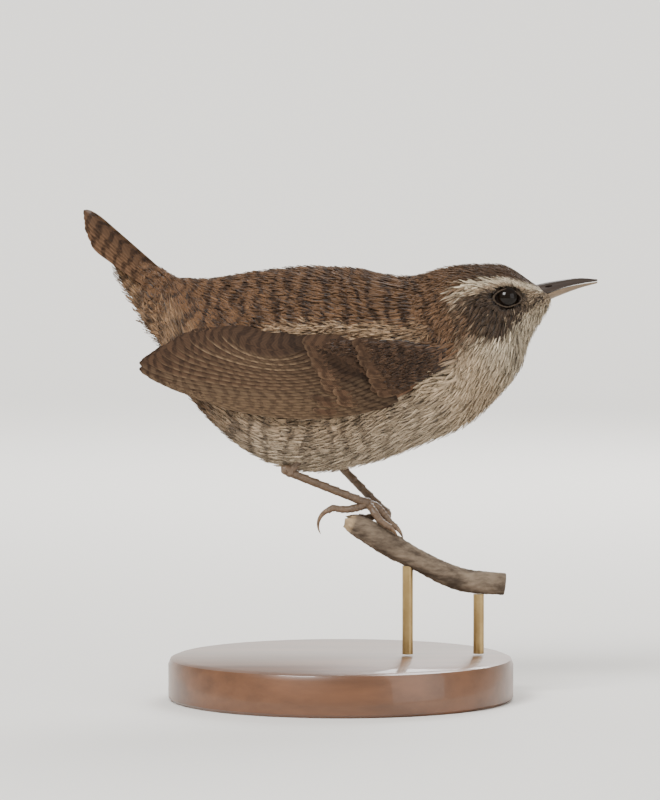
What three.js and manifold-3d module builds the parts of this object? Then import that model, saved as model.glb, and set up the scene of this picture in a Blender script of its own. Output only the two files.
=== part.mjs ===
// A life-size wren gripping a short length of twig, held up by two thin pins on a round display base.
// Millimetres, +Z up. The bird faces +X, its right side is towards -Y.
// The origin is the centre of the base's underside, below the middle of the bird's length.

import * as THREE from 'three';
import { LoftGeometry } from 'three/addons/geometries/LoftGeometry.js';
import { mergeVertices } from 'three/addons/utils/BufferGeometryUtils.js';
import Module from 'manifold-3d';

const wasm = await Module();
wasm.setup();

// Driving dimensions

const GAP = 0.3; // between one part and the next
const RIGHT = -1; // the side of the bird that faces -Y
const LEFT = 1;

// The trunk from the tail root to the bill. Each rib has its point on the back, its point
// on the underside, both as [x, z], and its half width.
const RIBS = [
  { at: 'tail root', back: [-30.2, 77.7], under: [-35.4, 70.3], half: 4.6 },
  { at: 'rump', back: [-24.3, 77.6], under: [-28.9, 57.6], half: 9.4 },
  { at: 'vent', back: [-16.4, 78.8], under: [-18.7, 47.3], half: 13.4 },
  { at: 'belly', back: [-8.0, 79.8], under: [-8.6, 42.9], half: 15.5 },
  { at: 'mid back', back: [0.5, 79.7], under: [2.6, 43.4], half: 15.6 },
  { at: 'shoulder', back: [9.3, 78.4], under: [16.4, 48.1], half: 13.5 },
  { at: 'breast', back: [13.6, 78.1], under: [24.6, 52.2], half: 11.4 },
  { at: 'nape', back: [18.6, 79.6], under: [32.4, 60.6], half: 8.7 },
  { at: 'hind crown', back: [22.4, 80.2], under: [34.5, 66.3], half: 7.3 },
  { at: 'crown', back: [26.6, 80.4], under: [36.3, 69.6], half: 6.5 },
  { at: 'forehead', back: [30.7, 80.1], under: [37.9, 72.2], half: 4.9 },
  { at: 'bill base', back: [35.0, 77.6], under: [39.2, 74.6], half: 2.1 },
];
const RIB_SIDES = 24;
const RINGS_PER_RIB = 2;
const RIB_FULLNESS = 2.25; // the exponent of the ribs' rounded shape, where 2 is an ellipse
const NECK_FROM = 6; // the rib where the torso ends and the neck begins
const HEAD_FROM = 7.4; // where the neck ends and the head begins

const EYE = { x: 30.5, z: 74.6, radius: 2.25, depth: 5.05 };
const LID = { long: 2.75, tall: 2.15, cornerDrop: 0.35, thick: 0.42 };

const BILL = {
  root: 34.4,
  tip: 47.4,
  culmen: [76.4, 77.2, 77.75, 78.1, 77.85],
  mouth: [73.4, 75.0, 76.2, 76.95, 77.45],
  keel: [71.9, 73.6, 75.0, 76.2, 77.1],
  half: [2.2, 1.75, 1.2, 0.7, 0.16],
};
const GAPE = { from: [36.2, 74.3], to: [31.6, 72.4], deep: 0.8 };
const NOSTRIL = { x: 38.3, z: 76.55, long: 1.5, tall: 0.5, deep: 0.6 };

// The folded wing, seen from the side. A flight feather is drawn by its lower edge,
// from its root by way of a bend to its tip, and the edges fan out between the first and the last.
const WING = {
  lift: 1.25, // the wing's outer face above the trunk
  leavesTrunkAt: -14,
  closesIn: 0.42, // how fast the tips draw in towards the tail, per millimetre
  rootTop: [-5.0, 66.4],
  rootLow: [10.5, 56.0],
  bendTop: [-12.4, 61.0],
  bendLow: [-3.0, 49.9],
  tips: [[-21.6, 67.6], [-26.4, 66.9], [-31.2, 65.2], [-35.8, 61.8], [-37.9, 60.2], [-35.6, 58.7], [-31.6, 57.1], [-26.4, 55.6]],
  feathers: 18, // three tertials, six secondaries and nine primaries
  featherWide: 4.3,
  featherThick: 0.5,
  raised: 0.6, // how far the free lower edge stands off the wing's face
  lean: 0.21, // how steeply each feather dips under the one above, per millimetre
};
const WING_CORE = {
  x: [18.4, 15.0, 9.0, 0.0, -10.0, -18.0, -25.0],
  low: [63.0, 59.4, 55.9, 53.9, 53.9, 55.6, 59.0],
  high: [65.4, 66.6, 66.9, 67.0, 67.2, 67.2, 65.6],
  thick: 2.6,
};
// Rows of wing coverts. Each runs from its highest feather to its lowest.
const COVERT_ROWS = [
  { name: 'greater', count: 8, top: [2.5, 65.6], low: [9.5, 56.4], long: 10.5, wide: 3.6, raised: 1.05 },
  { name: 'primary', count: 3, top: [9.8, 56.8], low: [9.6, 55.4], long: 15.0, wide: 2.6, raised: 0.9 },
  { name: 'median', count: 6, top: [8.4, 65.8], low: [13.0, 58.4], long: 7.0, wide: 3.2, raised: 1.25 },
  { name: 'lesser', count: 4, top: [13.4, 65.4], low: [16.6, 61.4], long: 5.6, wide: 3.0, raised: 1.3 },
];

// The cocked tail, its two halves sloping like a roof from the middle pair of feathers.
const TAIL = {
  root: [-27.6, 74.3],
  middleTip: [-46.7, 91.0],
  pairs: 6,
  outerShorter: 4.5,
  roof: 44, // degrees
  rootSpread: 1.3,
  tipSpread: 4.2,
  featherWide: 3.9,
  featherThick: 0.5,
  raised: 0.25,
  lean: 0.16,
};
// The coverts that wrap the roots of the tail feathers.
const TAIL_COVERT_RIBS = [
  { back: [-26.0, 76.4], under: [-30.6, 63.6], half: 6.4 },
  { back: [-30.2, 78.1], under: [-36.2, 69.9], half: 4.7 },
  { back: [-33.2, 79.9], under: [-38.5, 74.4], half: 4.0 },
  { back: [-36.0, 81.0], under: [-40.3, 78.0], half: 3.0 },
  { back: [-38.8, 83.0], under: [-41.6, 81.1], half: 1.9 },
  { back: [-41.0, 84.9], under: [-42.5, 83.7], half: 0.8 },
];

// The twig, from its torn end to its sawn end, as [x, y, z] with its radius.
const TWIG = [
  { at: [0.5, -0.7, 33.2], radius: 1.15 },
  { at: [2.6, -0.6, 32.4], radius: 1.9 },
  { at: [5.0, -0.5, 31.2], radius: 2.2 },
  { at: [8.5, -0.3, 29.0], radius: 2.25 },
  { at: [14.8, 0.2, 25.5], radius: 2.0 },
  { at: [22.0, 0.8, 22.2], radius: 2.15 },
  { at: [30.4, 1.5, 21.2], radius: 2.05 },
];
const TWIG_SIDES = 14;
const TWIG_RINGS = 22;
const TWIG_RIPPLE = 0.1;

// Legs: where the shank leaves the plumage, the heel, and the joint that the toes leave.
// Each toe has stops of [distance along the twig from the joint, degrees round the twig
// from its crest towards +Y, height of the toe's middle above the bark].
const SHANK_RADIUS = 1.25;
const TARSUS_RADIUS = 0.62;
const TARSUS_SCUTES = 9;
const SCUTE_STEP = 0.09;
const TOE_SCUTES = 5;
const TOE_RADIUS = 0.76;
const TOE_TIP_RADIUS = 0.56;
const LEGS = [
  {
    name: 'right',
    thigh: [-3.0, -6.6, 51.0],
    heel: [-9.4, -6.4, 42.5],
    joint: [5.1, -0.5, 36.3],
    toes: {
      hind: { stops: [[-1.8, -12, 1.4], [-3.7, -14, 0.85], [-5.4, -14, 0.45], [-6.3, -14, -0.4]], clawLong: 5.4, clawHook: 100 },
      inner: { stops: [[1.2, 24, 2.3], [2.5, 36, 1.4], [3.8, 42, 1.15]], clawLong: 2.2, clawHook: 40 },
      middle: { stops: [[1.4, 2, 2.6], [3.0, 4, 1.9], [4.6, 6, 1.3], [6.2, 8, 1.15]], clawLong: 2.6, clawHook: 40 },
      outer: { stops: [[1.2, -26, 2.1], [2.8, -34, 1.3], [5.0, -34, 1.1]], clawLong: 2.4, clawHook: 40 },
    },
  },
  {
    name: 'left',
    thigh: [2.5, 6.4, 52.5],
    heel: [-3.0, 5.6, 46.0],
    joint: [8.5, 2.4, 34.2],
    toes: {
      hind: { stops: [[-1.3, 42, 2.0], [-2.6, 54, 1.2], [-3.9, 60, 1.2]], clawLong: 2.4, clawHook: 40 },
      inner: { stops: [[1.6, 50, 2.0], [3.2, 62, 1.2], [5.0, 66, 1.15]], clawLong: 2.4, clawHook: 40 },
      middle: { stops: [[1.6, 72, 2.1], [3.4, 94, 1.3], [5.4, 100, 1.1], [6.8, 102, 1.2]], clawLong: 2.6, clawHook: 40 },
      outer: { stops: [[1.0, 80, 1.8], [2.4, 110, 1.1], [4.2, 124, 1.1]], clawLong: 2.2, clawHook: 40 },
    },
  },
];
const CLAW_RADIUS = 0.42;
const CLAW_TIP_RADIUS = 0.1;

const BASE = { radius: 32, thick: 8, bevel: 1.4, foot: 0.6 };
const PIN_RADIUS = 1.0;
const PINS = [{ name: 'front', x: 25.6 }, { name: 'rear', x: 12.4 }];

// Materials

function finish(color, roughness, metalness = 0) {
  return new THREE.MeshStandardMaterial({ color, roughness, metalness });
}
const FINISH = {
  upperPlumage: finish(0x7a5233, 0.85),
  headPlumage: finish(0x8a6340, 0.85),
  neckPlumage: finish(0x9a7750, 0.85),
  bodyPlumage: finish(0xa88a64, 0.85),
  wing: finish(0x5f3d24, 0.75),
  tail: finish(0x6b4427, 0.75),
  upperBill: finish(0x3a2c24, 0.4),
  lowerBill: finish(0x8c7458, 0.4),
  eye: finish(0x140c08, 0.08),
  leg: finish(0xa07a5c, 0.55),
  claw: finish(0x6b5544, 0.4),
  bark: finish(0x6f6252, 0.95),
  wood: finish(0x4a2f1d, 0.5),
  pin: finish(0xb08d4f, 0.3, 1),
};

// Solids: closed geometries to booleans and back

function solidOf(geometry) {
  const bare = new THREE.BufferGeometry();
  bare.setAttribute('position', geometry.getAttribute('position'));
  bare.setIndex(geometry.index);
  const merged = mergeVertices(bare, 1e-4);
  const corners = merged.index.array;
  const kept = [];
  for (let i = 0; i < corners.length; i += 3) {
    const [a, b, c] = corners.slice(i, i + 3);
    if (a !== b && b !== c && c !== a) kept.push(a, b, c);
  }
  const build = (list) => new wasm.Manifold(new wasm.Mesh({
    numProp: 3,
    vertProperties: new Float32Array(merged.attributes.position.array),
    triVerts: new Uint32Array(list),
  }));
  const made = build(kept);
  return made.volume() > 0 ? made : build(kept.reverse());
}

function largest(solid) {
  const bodies = solid.decompose();
  return bodies.reduce((best, body) => (body.volume() > best.volume() ? body : best));
}

function joined(solids) {
  return solids.reduce((sum, solid) => sum.add(solid));
}

function meshOf(name, solid, material) {
  const { numVert, numProp, vertProperties, triVerts } = largest(solid).getMesh();
  const positions = new Float32Array(numVert * 3);
  for (let i = 0; i < numVert; i += 1) {
    positions.set(vertProperties.subarray(i * numProp, i * numProp + 3), i * 3);
  }
  const geometry = new THREE.BufferGeometry();
  geometry.setAttribute('position', new THREE.BufferAttribute(positions, 3));
  geometry.setIndex(new THREE.BufferAttribute(triVerts, 1));
  geometry.computeVertexNormals();
  const mesh = new THREE.Mesh(geometry, material);
  mesh.name = name;
  return mesh;
}

// Rings must turn left about the way the loft runs, so those that turn right are taken backwards.
function lofted(rings) {
  const centre = (ring) => ring.reduce((sum, point) => sum.add(point), new THREE.Vector3()).divideScalar(ring.length);
  const middle = centre(rings[0]);
  const turning = new THREE.Vector3();
  rings[0].forEach((point, i) => {
    const next = rings[0][(i + 1) % rings[0].length];
    turning.add(point.clone().sub(middle).cross(next.clone().sub(middle)));
  });
  const turnsRight = turning.dot(centre(rings[1]).sub(middle)) < 0;
  const sections = turnsRight ? rings.map((ring) => [...ring].reverse()) : rings;
  return solidOf(new LoftGeometry(sections, { capStart: true, capEnd: true }));
}

// Curves through named stops

const inSideView = ([x, z]) => new THREE.Vector3(x, 0, z);

function smoothCurve(points) {
  return new THREE.CatmullRomCurve3(points, false, 'catmullrom', 0.5);
}

function smoothNumber(values) {
  const curve = smoothCurve(values.map((value, i) => new THREE.Vector3(i, value, 0)));
  return (share) => curve.getPoint(THREE.MathUtils.clamp(share, 0, 1)).y;
}

// The trunk

const backLine = smoothCurve(RIBS.map((rib) => inSideView(rib.back)));
const underLine = smoothCurve(RIBS.map((rib) => inSideView(rib.under)));
const ribHalf = smoothNumber(RIBS.map((rib) => rib.half));

function roundedRib(back, under, half, swell) {
  const middle = back.clone().add(under).multiplyScalar(0.5);
  const up = back.clone().sub(middle);
  up.setLength(up.length() + swell);
  const points = [];
  for (let i = 0; i < RIB_SIDES; i += 1) {
    const turn = (i / RIB_SIDES) * Math.PI * 2;
    const rise = Math.sign(Math.cos(turn)) * Math.abs(Math.cos(turn)) ** (2 / RIB_FULLNESS);
    const reach = Math.sign(Math.sin(turn)) * Math.abs(Math.sin(turn)) ** (2 / RIB_FULLNESS);
    points.push(middle.clone().addScaledVector(up, rise).add(new THREE.Vector3(0, (half + swell) * reach, 0)));
  }
  return points;
}

function trunk(swell) {
  const last = (RIBS.length - 1) * RINGS_PER_RIB;
  const sections = [];
  for (let i = 0; i <= last; i += 1) {
    const share = i / last;
    sections.push(roundedRib(backLine.getPoint(share), underLine.getPoint(share), ribHalf(share), swell));
  }
  const ends = [
    { ring: sections[0], next: sections[1] },
    { ring: sections[last], next: sections[last - 1] },
  ];
  for (const { ring, next } of ends) {
    const outward = ring[0].clone().sub(next[0]).add(ring[RIB_SIDES / 2]).sub(next[RIB_SIDES / 2]);
    outward.setLength(swell);
    ring.forEach((point) => point.add(outward));
  }
  return lofted(sections);
}

// How far the trunk reaches sideways at a place in the side view.
function trunkReach(x, z) {
  let low = 0;
  let high = 1;
  const place = new THREE.Vector3(x, 0, z);
  const ahead = (share) => {
    const back = backLine.getPoint(share);
    const rib = underLine.getPoint(share).sub(back);
    return rib.x * (place.z - back.z) - rib.z * (place.x - back.x);
  };
  for (let i = 0; i < 30; i += 1) {
    const middle = (low + high) / 2;
    if (ahead(middle) > 0) low = middle;
    else high = middle;
  }
  const back = backLine.getPoint(low);
  const under = underLine.getPoint(low);
  const half = back.distanceTo(under) / 2;
  const offMiddle = Math.min(1, place.distanceTo(back.add(under).multiplyScalar(0.5)) / half);
  return ribHalf(low) * (1 - offMiddle ** RIB_FULLNESS) ** (1 / RIB_FULLNESS);
}

// A thin plate across the trunk at a rib, which parts it in two.
function ribCut(rib) {
  const share = rib / (RIBS.length - 1);
  const back = backLine.getPoint(share);
  const under = underLine.getPoint(share);
  const along = under.clone().sub(back).normalize();
  const across = new THREE.Vector3(0, 1, 0);
  const matrix = new THREE.Matrix4().makeBasis(along.clone().cross(across), across, along);
  matrix.setPosition(back.add(under).multiplyScalar(0.5));
  const size = 60;
  return solidOf(new THREE.BoxGeometry(GAP, size, size).applyMatrix4(matrix));
}

function partedTrunk() {
  const parts = trunk(0).subtract(ribCut(NECK_FROM)).subtract(ribCut(HEAD_FROM)).decompose();
  const front = (part) => part.boundingBox().max[0];
  const [torso, neck, head] = parts.filter((part) => part.volume() > 1).sort((a, b) => front(a) - front(b));
  return { torso, neck, head };
}

// Eyes and lids

function eyeball(side, radius) {
  const ball = new THREE.SphereGeometry(radius, 16, 11);
  ball.translate(EYE.x, side * EYE.depth, EYE.z);
  return solidOf(ball);
}

// The rim of the lids is an almond that lies along the face, its front corner lower and drawn out.
function lid(side) {
  const ring = new THREE.TorusGeometry(1, LID.thick, 6, 22);
  ring.rotateX(Math.PI / 2);
  const places = ring.getAttribute('position');
  for (let i = 0; i < places.count; i += 1) {
    const turn = Math.atan2(places.getZ(i), places.getX(i));
    const tube = Math.hypot(places.getX(i), places.getZ(i)) - 1;
    const forward = Math.max(0, Math.cos(turn)) ** 3;
    const x = EYE.x + Math.cos(turn) * (LID.long + tube + 0.35 * forward);
    const z = EYE.z + Math.sin(turn) * (LID.tall + tube) - LID.cornerDrop * forward;
    places.setXYZ(i, x, side * (trunkReach(x, z) + 0.12) + places.getY(i), z);
  }
  return solidOf(ring);
}

// The corner of the mouth runs back from the bill as a shallow groove in each cheek.
function gapeGroove(side) {
  const from = inSideView(GAPE.from);
  const to = inSideView(GAPE.to);
  const along = to.clone().sub(from);
  const across = new THREE.Vector3(0, 1, 0);
  const matrix = new THREE.Matrix4().makeBasis(along.clone().normalize(), across, along.clone().normalize().cross(across));
  const middle = from.clone().add(to).multiplyScalar(0.5);
  middle.y = side * (trunkReach(middle.x, middle.z) + 1);
  matrix.setPosition(middle);
  return solidOf(new THREE.BoxGeometry(along.length(), 2 + GAPE.deep * 2, GAP).applyMatrix4(matrix));
}

function finishedHead(head) {
  const sides = [RIGHT, LEFT];
  const withLids = joined([head, ...sides.map(lid)]);
  const cuts = joined(sides.flatMap((side) => [eyeball(side, EYE.radius + GAP), gapeGroove(side)]));
  return withLids.subtract(cuts);
}

// Bill

const BILL_RINGS = 9;

function mandible(topLine, bottomLine, roundTop) {
  const sections = [];
  for (let i = 0; i < BILL_RINGS; i += 1) {
    const share = i / (BILL_RINGS - 1);
    const x = THREE.MathUtils.lerp(BILL.root, BILL.tip, share);
    const top = topLine(share);
    const bottom = bottomLine(share);
    const half = smoothNumber(BILL.half)(share);
    const flat = roundTop ? bottom : top;
    const round = roundTop ? top : bottom;
    const points = [];
    const arc = 8;
    for (let k = 0; k <= arc; k += 1) {
      const turn = (k / arc) * Math.PI;
      points.push(new THREE.Vector3(x, -half * Math.cos(turn), flat + (round - flat) * Math.sin(turn) ** 0.8));
    }
    sections.push(points);
  }
  return lofted(sections);
}

function bill(swollenTrunk) {
  const culmen = smoothNumber(BILL.culmen);
  const mouth = smoothNumber(BILL.mouth);
  const keel = smoothNumber(BILL.keel);
  const nostril = (side) => {
    const slit = new THREE.SphereGeometry(0.5, 8, 6);
    slit.scale(NOSTRIL.long, NOSTRIL.deep * 2, NOSTRIL.tall);
    slit.translate(NOSTRIL.x, side * 1.35, NOSTRIL.z);
    return solidOf(slit);
  };
  const upper = mandible(culmen, (share) => mouth(share) + GAP / 2, true);
  const lower = mandible((share) => mouth(share) - GAP / 2, (share) => Math.min(keel(share), mouth(share) - GAP / 2 - 0.12), false);
  return {
    upper: upper.subtract(joined([nostril(RIGHT), nostril(LEFT)])).subtract(swollenTrunk),
    lower: lower.subtract(swollenTrunk),
  };
}

// Wings

function wingFace(x, z) {
  const onTrunk = Math.max(x, WING.leavesTrunkAt);
  return trunkReach(onTrunk, z) + WING.lift - (onTrunk - x) * WING.closesIn;
}

// A feather lies with its lower edge free and its upper edge under the next one.
function wingFeather(side, edge, shape) {
  const sections = [];
  for (let i = 0; i < shape.widths.length; i += 1) {
    const share = i / (shape.widths.length - 1);
    const at = edge.getPoint(share);
    const along = edge.getTangent(share);
    const up = new THREE.Vector3(along.z, 0, -along.x);
    const wide = shape.wide * shape.widths[i];
    const rounding = i === shape.widths.length - 1 ? (shape.wide * shape.widths[i - 1] - wide) * 0.4 : 0;
    const rise = shape.rise(share);
    const corner = (across, height) => {
      const point = at.clone().addScaledVector(up, across);
      point.y = side * (wingFace(point.x, point.z) + rise - across * shape.lean + height);
      return point;
    };
    const low = rounding;
    const high = rounding + wide;
    sections.push([corner(low, 0), corner(high, 0), corner(high, -shape.thick), corner(low, -shape.thick)]);
  }
  return lofted(sections);
}

function flightFeathers(side) {
  const rootTop = inSideView(WING.rootTop);
  const rootLow = inSideView(WING.rootLow);
  const bendTop = inSideView(WING.bendTop);
  const bendLow = inSideView(WING.bendLow);
  const tipLine = smoothCurve(WING.tips.map(inSideView));
  const feathers = [];
  for (let i = 0; i < WING.feathers; i += 1) {
    const share = i / (WING.feathers - 1);
    const edge = new THREE.QuadraticBezierCurve3(
      rootTop.clone().lerp(rootLow, share),
      bendTop.clone().lerp(bendLow, share),
      tipLine.getPointAt(share),
    );
    feathers.push(wingFeather(side, edge, {
      wide: WING.featherWide,
      widths: [0.45, 0.8, 0.95, 0.85, 0.3],
      rise: () => WING.raised,
      lean: WING.lean,
      thick: WING.featherThick,
    }));
  }
  return feathers;
}

function covertRow(side, row) {
  const top = inSideView(row.top);
  const low = inSideView(row.low);
  const feathers = [];
  for (let i = 0; i < row.count; i += 1) {
    const share = i / (row.count - 1);
    const root = top.clone().lerp(low, share);
    const sweep = new THREE.Vector3(-row.long, 0, THREE.MathUtils.lerp(-0.6, -2.4, share ** 0.7));
    const edge = new THREE.QuadraticBezierCurve3(
      root,
      root.clone().addScaledVector(sweep, 0.6).add(new THREE.Vector3(0, 0, -0.5)),
      root.clone().add(sweep).add(new THREE.Vector3(0, 0, 0.9)),
    );
    feathers.push(wingFeather(side, edge, {
      wide: row.wide,
      widths: [0.6, 1, 0.9, 0.3],
      rise: (along) => THREE.MathUtils.lerp(0.2, row.raised, along),
      lean: 0.16,
      thick: 0.7,
    }));
  }
  return feathers;
}

function wingCore(side) {
  const low = smoothNumber(WING_CORE.low);
  const high = smoothNumber(WING_CORE.high);
  const stations = smoothNumber(WING_CORE.x);
  const rings = 9;
  const sections = [];
  for (let i = 0; i <= rings; i += 1) {
    const share = i / rings;
    const x = stations(share);
    const outer = [];
    const inner = [];
    const steps = 3;
    for (let k = 0; k <= steps; k += 1) {
      const z = THREE.MathUtils.lerp(low(share), high(share), k / steps);
      const face = wingFace(x, z);
      outer.push(new THREE.Vector3(x, side * face, z));
      inner.unshift(new THREE.Vector3(x, side * (face - WING_CORE.thick), z));
    }
    sections.push([...outer, ...inner]);
  }
  return lofted(sections);
}

function wing(side, swollenTrunk, swollenTail) {
  const rows = COVERT_ROWS.flatMap((row) => covertRow(side, row));
  const whole = joined([wingCore(side), ...flightFeathers(side), ...rows]);
  return whole.subtract(swollenTrunk).subtract(swollenTail);
}

// Tail

const tailAlong = inSideView(TAIL.middleTip).sub(inSideView(TAIL.root)).normalize();
const tailUp = new THREE.Vector3(tailAlong.z, 0, -tailAlong.x);

function tailFeather(side, pair) {
  const outward = pair / (TAIL.pairs - 1);
  const roof = THREE.MathUtils.degToRad(TAIL.roof);
  const slope = new THREE.Vector3(0, side * Math.cos(roof), 0).addScaledVector(tailUp, -Math.sin(roof));
  const face = new THREE.Vector3(0, side * Math.sin(roof), 0).addScaledVector(tailUp, Math.cos(roof));
  const long = inSideView(TAIL.middleTip).distanceTo(inSideView(TAIL.root)) - outward ** 1.5 * TAIL.outerShorter;
  const widths = [0.5, 0.9, 1, 0.75, 0.25];
  const sections = widths.map((width, i) => {
    const share = i / (widths.length - 1);
    const off = outward * THREE.MathUtils.lerp(TAIL.rootSpread, TAIL.tipSpread, share) + TAIL.featherWide * 0.3;
    const middle = inSideView(TAIL.root).addScaledVector(tailAlong, long * share ** 0.94).addScaledVector(slope, off);
    const half = (TAIL.featherWide * width) / 2;
    const corner = (across, height) => middle.clone()
      .addScaledVector(slope, across)
      .addScaledVector(face, TAIL.raised + across * TAIL.lean + height - outward * 0.35);
    return [corner(half, 0), corner(-half, 0), corner(-half, -TAIL.featherThick), corner(half, -TAIL.featherThick)];
  });
  return lofted(sections);
}

function tailCoverts(swell) {
  const back = smoothCurve(TAIL_COVERT_RIBS.map((rib) => inSideView(rib.back)));
  const under = smoothCurve(TAIL_COVERT_RIBS.map((rib) => inSideView(rib.under)));
  const half = smoothNumber(TAIL_COVERT_RIBS.map((rib) => rib.half));
  const rings = 10;
  const sections = [];
  for (let i = 0; i <= rings; i += 1) {
    const ring = roundedRib(back.getPoint(i / rings), under.getPoint(i / rings), half(i / rings), swell);
    sections.push(ring.filter((_, k) => k % 2 === 0));
  }
  return lofted(sections);
}

function tail(swollenTrunk) {
  const feathers = [];
  for (let pair = 0; pair < TAIL.pairs; pair += 1) {
    feathers.push(tailFeather(RIGHT, pair), tailFeather(LEFT, pair));
  }
  return joined([tailCoverts(0), ...feathers]).subtract(swollenTrunk);
}

// Twig

const twigLine = new THREE.CatmullRomCurve3(TWIG.map((stop) => new THREE.Vector3(...stop.at)), false, 'centripetal');
const twigLong = twigLine.getLength();
const twigRadiusStops = smoothNumber(TWIG.map((stop) => stop.radius));

// Beyond either end the twig's line runs on straight.
function twigFrame(distance) {
  const share = THREE.MathUtils.clamp(distance / twigLong, 0, 1);
  const along = twigLine.getTangentAt(share);
  const beyond = distance - share * twigLong;
  const crest = new THREE.Vector3(0, 0, 1).addScaledVector(along, -along.z).normalize();
  return {
    middle: twigLine.getPointAt(share).addScaledVector(along, beyond),
    crest,
    beside: crest.clone().cross(along),
    radius: twigRadiusStops(twigLine.getUtoTmapping(share)),
  };
}

function onTwig(distance, degrees, height) {
  const { middle, crest, beside, radius } = twigFrame(distance);
  const turn = THREE.MathUtils.degToRad(degrees);
  return middle.addScaledVector(crest, (radius + height) * Math.cos(turn)).addScaledVector(beside, (radius + height) * Math.sin(turn));
}

function twig(swell) {
  const sections = [];
  for (let i = 0; i <= TWIG_RINGS; i += 1) {
    const distance = (i / TWIG_RINGS) * twigLong;
    const ring = [];
    for (let k = 0; k < TWIG_SIDES; k += 1) {
      const degrees = (k / TWIG_SIDES) * 360;
      const fade = Math.min(1, i / 4);
      const ripple = TWIG_RIPPLE * fade * Math.sin(i * 1.7 + 2 * k) * Math.cos(k * 2.1 + i * 0.6);
      ring.push(onTwig(distance, degrees, swell + ripple));
    }
    sections.push(ring);
  }
  return lofted(sections);
}

// Legs and feet

// A round limb along a curve, whose scutes each flare a little towards their far edge.
function scutedLimb(curve, radiusAt, scutes, sides, plump = 1) {
  const sections = [];
  for (let i = 0; i < scutes; i += 1) {
    for (const [within, flare] of [[0.08, 0], [0.92, SCUTE_STEP]]) {
      const share = (i + within) / scutes;
      sections.push(ringRound(curve, share, radiusAt(share) + flare, sides, plump));
    }
  }
  sections.unshift(ringRound(curve, 0, radiusAt(0), sides, plump));
  sections.push(ringRound(curve, 1, radiusAt(1), sides, plump));
  return lofted(sections);
}

function ringRound(curve, share, radius, sides, plump = 1) {
  const middle = curve.getPointAt(share);
  const along = curve.getTangentAt(share);
  const beside = new THREE.Vector3(0, 1, 0).addScaledVector(along, -along.y).normalize();
  const over = along.clone().cross(beside);
  const ring = [];
  for (let k = 0; k < sides; k += 1) {
    const turn = (k / sides) * Math.PI * 2;
    ring.push(middle.clone().addScaledVector(beside, radius * Math.cos(turn)).addScaledVector(over, radius * plump * Math.sin(turn)));
  }
  return ring;
}

function toeCurve(leg, toe) {
  const stand = twigDistanceUnder(leg.joint);
  const stops = toe.stops.map(([ahead, degrees, height]) => onTwig(stand + ahead, degrees, height));
  return smoothCurve([new THREE.Vector3(...leg.joint), ...stops]);
}

// The distance along the twig of the place nearest to a point.
function twigDistanceUnder(point) {
  const target = new THREE.Vector3(...point);
  let best = 0;
  for (let i = 0; i <= 400; i += 1) {
    const here = twigLine.getPointAt(i / 400).distanceTo(target);
    if (here < twigLine.getPointAt(best / 400).distanceTo(target)) best = i;
  }
  return (best / 400) * twigLong;
}

function toeSolid(leg, toe, swell) {
  const radiusAt = (share) => THREE.MathUtils.lerp(TOE_RADIUS, TOE_TIP_RADIUS, share) + swell;
  return scutedLimb(toeCurve(leg, toe), radiusAt, TOE_SCUTES, 6);
}

// A claw leaves the toe's end along the toe and bends down towards the twig.
function claw(leg, toe) {
  const curve = toeCurve(leg, toe);
  const start = curve.getPointAt(1);
  const along = curve.getTangentAt(1);
  const distance = twigDistanceUnder(start.toArray());
  const away = start.clone().sub(twigFrame(distance).middle);
  const down = away.addScaledVector(along, -away.dot(along)).normalize().negate();
  const hook = THREE.MathUtils.degToRad(toe.clawHook);
  const bend = toe.clawLong / hook;
  const rings = 5;
  const sections = [];
  for (let i = 0; i <= rings; i += 1) {
    const turn = (i / rings) * hook;
    const middle = start.clone()
      .addScaledVector(along, GAP + bend * Math.sin(turn))
      .addScaledVector(down, bend * (1 - Math.cos(turn)));
    const heading = along.clone().multiplyScalar(Math.cos(turn)).addScaledVector(down, Math.sin(turn));
    const across = down.clone().cross(along).normalize();
    const over = heading.clone().cross(across);
    const radius = THREE.MathUtils.lerp(CLAW_RADIUS, CLAW_TIP_RADIUS, i / rings);
    const ring = [];
    const sides = 6;
    for (let k = 0; k < sides; k += 1) {
      const round = (k / sides) * Math.PI * 2;
      ring.push(middle.clone()
        .addScaledVector(across, radius * 0.8 * Math.cos(round))
        .addScaledVector(over, radius * 1.15 * Math.sin(round)));
    }
    sections.push(ring);
  }
  return lofted(sections);
}

function legAndFoot(leg, swollenTrunk, swollenTwig) {
  const thigh = new THREE.Vector3(...leg.thigh);
  const heel = new THREE.Vector3(...leg.heel);
  const joint = new THREE.Vector3(...leg.joint);
  const shank = new THREE.LineCurve3(thigh, heel);
  const tarsusLine = new THREE.LineCurve3(heel, joint);
  const knuckle = (at, radius) => solidOf(new THREE.SphereGeometry(radius, 10, 7).translate(at.x, at.y, at.z));
  const shankRadius = (share) => THREE.MathUtils.lerp(SHANK_RADIUS, TARSUS_RADIUS + 0.15, share);
  const tarsusRadius = (share) => TARSUS_RADIUS + 0.14 * (2 * share - 1) ** 4;
  const tarsus = scutedLimb(tarsusLine, tarsusRadius, TARSUS_SCUTES, 8, 1.15);
  const upperLeg = joined([scutedLimb(shank, shankRadius, 2, 8), knuckle(heel, TARSUS_RADIUS + 0.3), tarsus]);
  const footShape = (swell) => joined([
    knuckle(joint, TOE_RADIUS + 0.28 + swell),
    ...Object.values(leg.toes).map((toe) => toeSolid(leg, toe, swell)),
  ]);
  return {
    leg: upperLeg.subtract(swollenTrunk).subtract(footShape(GAP)),
    foot: footShape(0).subtract(swollenTwig),
    swollenFoot: footShape(GAP),
  };
}

// Stand

function standBase() {
  const { radius, thick, bevel, foot } = BASE;
  const profile = [
    [0, 0],
    [radius - foot, 0],
    [radius, foot],
    [radius, thick - bevel],
    [radius - bevel * 0.3, thick - bevel * 0.3],
    [radius - bevel, thick],
    [0, thick],
  ].map(([r, z]) => new THREE.Vector2(r, z));
  return solidOf(new THREE.LatheGeometry(profile, 56).rotateX(Math.PI / 2));
}

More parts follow.
